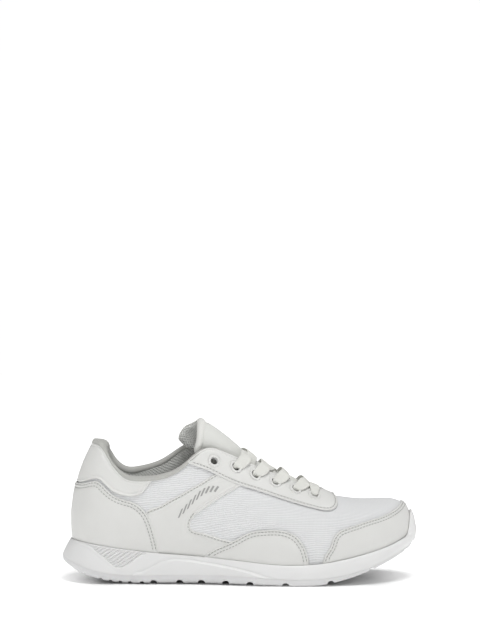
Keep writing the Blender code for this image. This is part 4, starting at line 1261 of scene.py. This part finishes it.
TREAD_FLAT = (-85.0, 60.0)
EDGE_LIFT = spline([(-149, 2), (-74, 2.3), (-33, 3), (8, 2.3), (33, 0.7), (49, 0.3),
                    (65, 0.8), (90, 0.6), (124, 0.1), (149, 0)])
FOOTBED = spline([(-145, 26.4), (-125, 25.6), (-106, 22.4), (-74, 18.5), (-33, 15.5), (0, 12.6),
                  (33, 9.8), (62, 10.4), (90, 14.6), (110, 19), (130, 25), (148, 32.5)])
FLARE = profile((8.8, 7, 5.6, 4.2, 4.4, 4.8, 4.8, 4.6, 3.6, 2.6))
BULGE = spline([(HEEL_END, 6), (HEEL_X, 4.8), (-33, 3.4), (33, 4), (62, 4.2),
                (toe_at(60), 4.6), (TOE_END, 6)])
BUMPER_START, BUMPER_FULL, BUMPER_RISE = toe_at(79), toe_at(87), 18.0
# Height of the moulded shoulder line along the wall, and of the heel patch's lower edge.
SHOULDER = spline([(-92, 5), (-86, 9.1), (-82, 9.9), (-74, 13.2), (-66, 17.3), (-61, 19.1), (-55, 20.1),
                   (-49, 20.1), (-41, 19.5), (-33, 18.5), (-16, 16), (0, 13.1), (16, 9), (25, 6.2),
                   (33, 4.1), (41, 2.5)])
PATCH = spline([(-140, 38), (-137, 35.7), (-127, 30.8), (-119, 25.9), (-111, 20.1), (-105, 15.2),
                (-101, 13.0), (-97, 13.4), (-90, 17.3), (-82, 23), (-75, 26.8), (-72, 30)])
RIB_SLOPE, RIB_PITCH = math.radians(33), 2.6
SOLE_STATIONS = np.concatenate([np.arange(HEEL_END, -126, 1.3), np.arange(-126, -70, 0.5),
                                np.arange(-70, TOE_X, 1.7), np.linspace(TOE_X, TOE_END, 46)])
TREAD_STATIONS = np.concatenate([np.arange(HEEL_END, HEEL_X, 1.7), np.arange(HEEL_X, TOE_X, 2.2),
                                 np.linspace(TOE_X, TOE_END, 46)])
WALL_ROWS = 44
CHANNEL_RADIUS = 2.2
# X and radius of the grooves across the tread.
GROOVES = [(-70.5, 2.9), (-49, 3.0), (-31, 3.0), (-11, 3.0), (9, 3.0), (38, 3.1), (75, 3.0),
           (109, 2.4), (139, 1.7), (-129, 1.5), (-114, 1.6), (-106, 1.6), (-98, 1.6), (-90, 1.6), (-80, 1.8)]


def ground(x):
    """Height of the underside on the centre: flat, with a heel bevel and a toe spring."""
    return (0.0034 * np.clip(TREAD_FLAT[0] - x, 0, None) ** 2
            + 0.0225 * np.clip(x - TREAD_FLAT[1], 0, None) ** 1.6)


def tread_top(x):
    """Height at which the tread meets the foam."""
    return ground(x) + 5 - 2 * smooth((x - 60) / 50)


def feather_radius(side, s):
    return FEATHER_R(s) * np.where(side > 0, INNER_SIDE(s), 1.0)


def station_loop(stations):
    """Side and station arrays once round the shoe."""
    inner = stations[-2:0:-1]
    side = np.concatenate([np.full(len(stations), -1.0), np.full(len(inner), 1.0)])
    return side, np.concatenate([stations, inner])


def section_x(side, s, radius):
    """X of a point at some radius on the section at station s."""
    return station_to_world(side, s, radius, 0 * s)[:, 0]


def around_body(name, look, side, s, radii, heights):
    """Closed body from rows of radius and height round the shoe; both ends meet in the middle."""
    verts = np.concatenate([station_to_world(side, s, r, z) for r, z in zip(radii, heights)])
    obj = make_piece(name, verts, tube_faces(len(radii), len(s), capped=False), look, None, 40)
    settle(obj.data, 0.03 * MM)
    return obj


def sculpt(x, z):
    """How far the moulded wall stands out at a point."""
    line, edge = SHOULDER(x), PATCH(x)
    fade = smooth((x + 93) / 9) * smooth((44 - x) / 16)
    patch = smooth((x + 141) / 6) * smooth((-72 - x) / 3)
    out = fade * (1.3 * smooth((line - z + 0.2) / 1.6) - 0.4 * bump(z, line + 0.5, 0.6))
    out = out + patch * (0.25 * bump(z, edge - 0.7, 0.8) - 0.85 * smooth((z - edge) / 0.9))
    phase = (z * math.cos(RIB_SLOPE) - x * math.sin(RIB_SLOPE)) / RIB_PITCH
    ribs = smooth((np.sin(2 * math.pi * phase) + 0.35) / 0.7)
    return out + ribs * smooth((z - edge - 1.0) / 0.5) * smooth((x + 121) / 1.5) * smooth((-78 - x) / 1.5)


def build_sole():
    side, s = station_loop(SOLE_STATIONS)
    r = feather_radius(side, s)
    z = FEATHER_Z(s)
    top = z + BUMPER_RISE * smooth((s - BUMPER_START) / (BUMPER_FULL - BUMPER_START))
    curve = sections(side, s)[0]
    below = np.where(curve[:, :, 1] < top[:, None] + 1, curve[:, :, 0], 0).max(1)
    wall = np.maximum(r, below) + 0.75
    edge = r + FLARE(s)
    edge_x = section_x(side, s, edge)
    edge_z = tread_top(edge_x) + EDGE_LIFT(edge_x) + 0.1
    belly_r = np.maximum(wall + 1.4, r + BULGE(s))
    belly_z = 0.45 * z + 0.55 * tread_top(section_x(side, s, belly_r)) + 2
    radii = [0 * r, 0.6 * r, wall, wall + 0.05, wall + 0.35, wall + 0.9]
    heights = [FOOTBED(section_x(side, s, radius)) for radius in radii[:3]] + [top - 0.8, top - 0.15, top]
    lip_r, lip_z = wall + 1.45, top - 0.35
    for t in np.linspace(0, 1, WALL_ROWS):
        lip, belly, foot = (1 - t) * (1 - 2 * t), 4 * t * (1 - t), t * (2 * t - 1)
        radius = lip_r * lip + belly_r * belly + edge * foot
        height = lip_z * lip + belly_z * belly + edge_z * foot
        out = sculpt(section_x(side, s, radius), height) * smooth(t / 0.06)
        tab = 0.6 * smooth((s - BUMPER_START) / 6) * smooth((t - 0.02) / 0.1) * (1 - smooth((t - 0.42) / 0.1))
        radii.append(radius + out + tab)
        heights.append(height)
    radii += [edge + sculpt(edge_x, edge_z) - 6, 0 * r]
    heights += [tread_top(edge_x) + 0.1, tread_top(section_x(side, s, 0 * r)) + 0.1]
    midsole = around_body("midsole_wall", FOAM, side, s, radii, heights)
    place_piece(midsole, ["midsole"])
    build_tread()


CUTTER_SIDES = 16


def bar_cutter(name, bars):
    """Rounded bars, each from one point to another with a radius."""
    verts, faces = [], []
    for start, end, radius in bars:
        start, end = np.array(start, float), np.array(end, float)
        wide = unit(np.cross(end - start, (0, 0, 1.0)))
        faces += tube_faces(2, CUTTER_SIDES, len(verts))
        verts += [p + wide * radius * math.cos(a) + np.array([0, 0, 0.85 * radius * math.sin(a)])
                  for p in (start, end) for a in turns(CUTTER_SIDES)]
    return make_piece(name, verts, faces, RUBBER)


def cut_with(obj, cutter):
    """Subtract the cutter for good, and remove it."""
    mod = obj.modifiers.new("cut", "BOOLEAN")
    mod.operation, mod.solver, mod.object = "DIFFERENCE", "EXACT", cutter
    bpy.context.view_layer.update()
    cut = bpy.data.meshes.new_from_object(obj.evaluated_get(bpy.context.evaluated_depsgraph_get()))
    obj.modifiers.clear()
    obj.data = cut
    bpy.data.objects.remove(cutter)


def build_tread():
    side, s = station_loop(TREAD_STATIONS)
    r = feather_radius(side, s)
    edge = r + FLARE(s)
    x = section_x(side, s, edge)
    lift, under, upper = EDGE_LIFT(x), ground(x), tread_top(x)
    edge = edge + sculpt(x, upper + lift)
    middle = [r * share for share in (0.8, 0.6, 0.4, 0.2, 0)]
    radii = [0 * r, 0.6 * r] + [edge - inward for inward in (6, 0.02, 0, 0.15, 0.7, 1.6, 3, 7)]
    heights = [tread_top(section_x(side, s, radius)) for radius in radii[:2]]
    heights += [upper, upper + lift - 0.02, under + lift + 2.4, under + lift + 1.3, under + lift + 0.5,
                under + 0.8 * lift + 0.1, under + 0.45 * lift]
    heights += [ground(section_x(side, s, radius)) for radius in radii[-1:] + middle]
    tread = around_body("outsole_tread", RUBBER, side, s, radii + middle, heights)
    cross = []
    for groove_x, radius in GROOVES:
        z = float(ground(np.array(groove_x))) + 0.45 * float(EDGE_LIFT(groove_x))
        cross.append(((groove_x - 1.2, -72, z), (groove_x + 1.2, 72, z), radius))
    cut_with(tread, bar_cutter("cross_grooves", cross))
    ends = [(x_end, y_end, float(ground(np.array(x_end))) - 0.4) for x_end, y_end in ((-66, 0), (66, 2))]
    cut_with(tread, bar_cutter("long_channel", [(*ends, CHANNEL_RADIUS)]))
    tread.data.set_sharp_from_angle(angle=math.radians(38))
    place_piece(tread, ["outsole"])


def build_sockliner():
    side, s = station_loop(TREAD_STATIONS)
    r = feather_radius(side, s)
    low_v = sections(side, s)[1][:, -2] + TUCK
    edge = r - lining_inside(s, low_v) - 1.6
    radii = [0 * r] + [edge * k for k in (0.3, 0.6, 0.8, 0.92, 0.98, 1.0, 0.985, 0.6, 0)]
    lifts = [5.4, 5.4, 5.6, 6.2, 7.0, 7.2, 6.4, 2.6, 2.4, 2.4]
    heights = [FOOTBED(section_x(side, s, radius)) + lift for radius, lift in zip(radii, lifts)]
    obj = around_body("sockliner_pad", SOCKLINER_CLOTH, side, s, radii, heights)
    give_uv(obj.data, [(v.co.x / MM, v.co.y / MM) for v in obj.data.vertices])
    place_piece(obj, ["sockliner"], "sockliner")


# ---------------- stage

def dress_hidden_nodes():
    looks = {"strobel_board": BOARD, "heel_counter": STIFFENER_SHEET, "toe_puff": STIFFENER_SHEET}
    for name, look in looks.items():
        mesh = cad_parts[name].data
        mesh.materials.clear()
        mesh.materials.append(look)


def area_light(name, place_at, aim, size, watts):
    light = bpy.data.lights.new(name, "AREA")
    light.shape, light.size, light.energy = "DISK", size, watts
    lamp = put_in_scene(name, light)
    lamp.location = place_at
    lamp.rotation_euler = (Vector(aim) - Vector(place_at)).to_track_quat("-Z", "Y").to_euler()


def floor_glow(look):
    """Painted light on the floor: a glow that is none under the shoe, some beside it and more far away, so
    the patch under the shoe is a painted contact shadow.
    """
    x, y, _ = look.axes()
    beyond = [(abs(axis) - half).maths("MAXIMUM") for axis, half in ((x, 0.11), (y, 0.035))]
    beside = node(look.tree, "CombineXYZ", {"X": beyond[0], "Y": beyond[1]}).outputs[0]
    glow = []
    for vector, start, stop, most in ((beside, 0.0, 0.05, 0.4), (look.where(), 0.12, 0.5, 0.42)):
        distance = node(look.tree, "VectorMath", {0: vector}, operation="LENGTH").outputs["Value"]
        limits = {"From Min": start, "From Max": stop, "To Min": 0.0, "To Max": most}
        ranged = node(look.tree, "MapRange", {"Value": distance, **limits}, interpolation_type="SMOOTHSTEP")
        glow.append(Signal(ranged.outputs[0]))
    return glow[0] + glow[1]


FLOOR_HALF, FLOOR_Z = 6000, -0.1    # the floor lies just below the tread
CAMERA_LENS, CAMERA_DISTANCE, CAMERA_HEIGHT = 100.07, 1.5, 0.2171


def build_stage():
    look = Look("pale_floor", (0.95, 0.95, 0.95), 0.9)
    look.set("Specular IOR Level", 0.0)
    # The floor's glow is painted light, and it is left out under the shoe as a painted contact shadow.
    look.set("Emission Color", (1, 1, 1, 1))
    look.feed("Emission Strength", floor_glow(look).socket)
    corners = [(x * FLOOR_HALF, y * FLOOR_HALF, FLOOR_Z) for x, y in ((-1, -1), (1, -1), (1, 1), (-1, 1))]
    floor = make_piece("floor", corners, [[0, 1, 2, 3]], look.material)
    white = Look("backdrop_white", (0, 0, 0), 1.0)
    white.set("Emission Color", (1, 1, 1, 1))
    white.set("Emission Strength", 1.0)
    bm = bmesh.new()
    bmesh.ops.create_icosphere(bm, subdivisions=3, radius=5.5)
    mesh = bpy.data.meshes.new("backdrop")
    bm.to_mesh(mesh)
    bm.free()
    mesh.materials.append(white.material)
    backdrop = put_in_scene("backdrop", mesh)
    for ray in ("visible_diffuse", "visible_glossy", "visible_transmission", "visible_shadow"):
        setattr(backdrop, ray, False)
    world = bpy.data.worlds.new("studio")
    bpy.context.scene.world = world
    world.use_nodes = True
    background = world.node_tree.nodes["Background"]
    background.inputs["Color"].default_value = (1, 1, 1, 1)
    background.inputs["Strength"].default_value = 0.42
    area_light("overhead_softbox", (0.1, -0.3, 1.3), (0, 0, 0), 0.7, 9)
    area_light("front_softbox", (0.35, -1.8, 0.8), (0, 0, 0.05), 0.8, 2.2)


def build_camera():
    data = bpy.data.cameras.new("camera")
    data.lens, data.sensor_width, data.clip_start = CAMERA_LENS, 36.0, 0.05
    camera = put_in_scene("camera", data)
    camera.location = (0.0, -CAMERA_DISTANCE, CAMERA_HEIGHT)
    camera.rotation_euler = (math.radians(90), 0, 0)
    bpy.context.scene.camera = camera
    bpy.context.scene.view_settings.view_transform = "Standard"


build_sole()
build_base()
build_lining()
build_overlays()
build_collar_binding()
build_tongue()
build_lace()
build_print()
build_sockliner()
build_stitches()
dress_hidden_nodes()
build_stage()
build_camera()
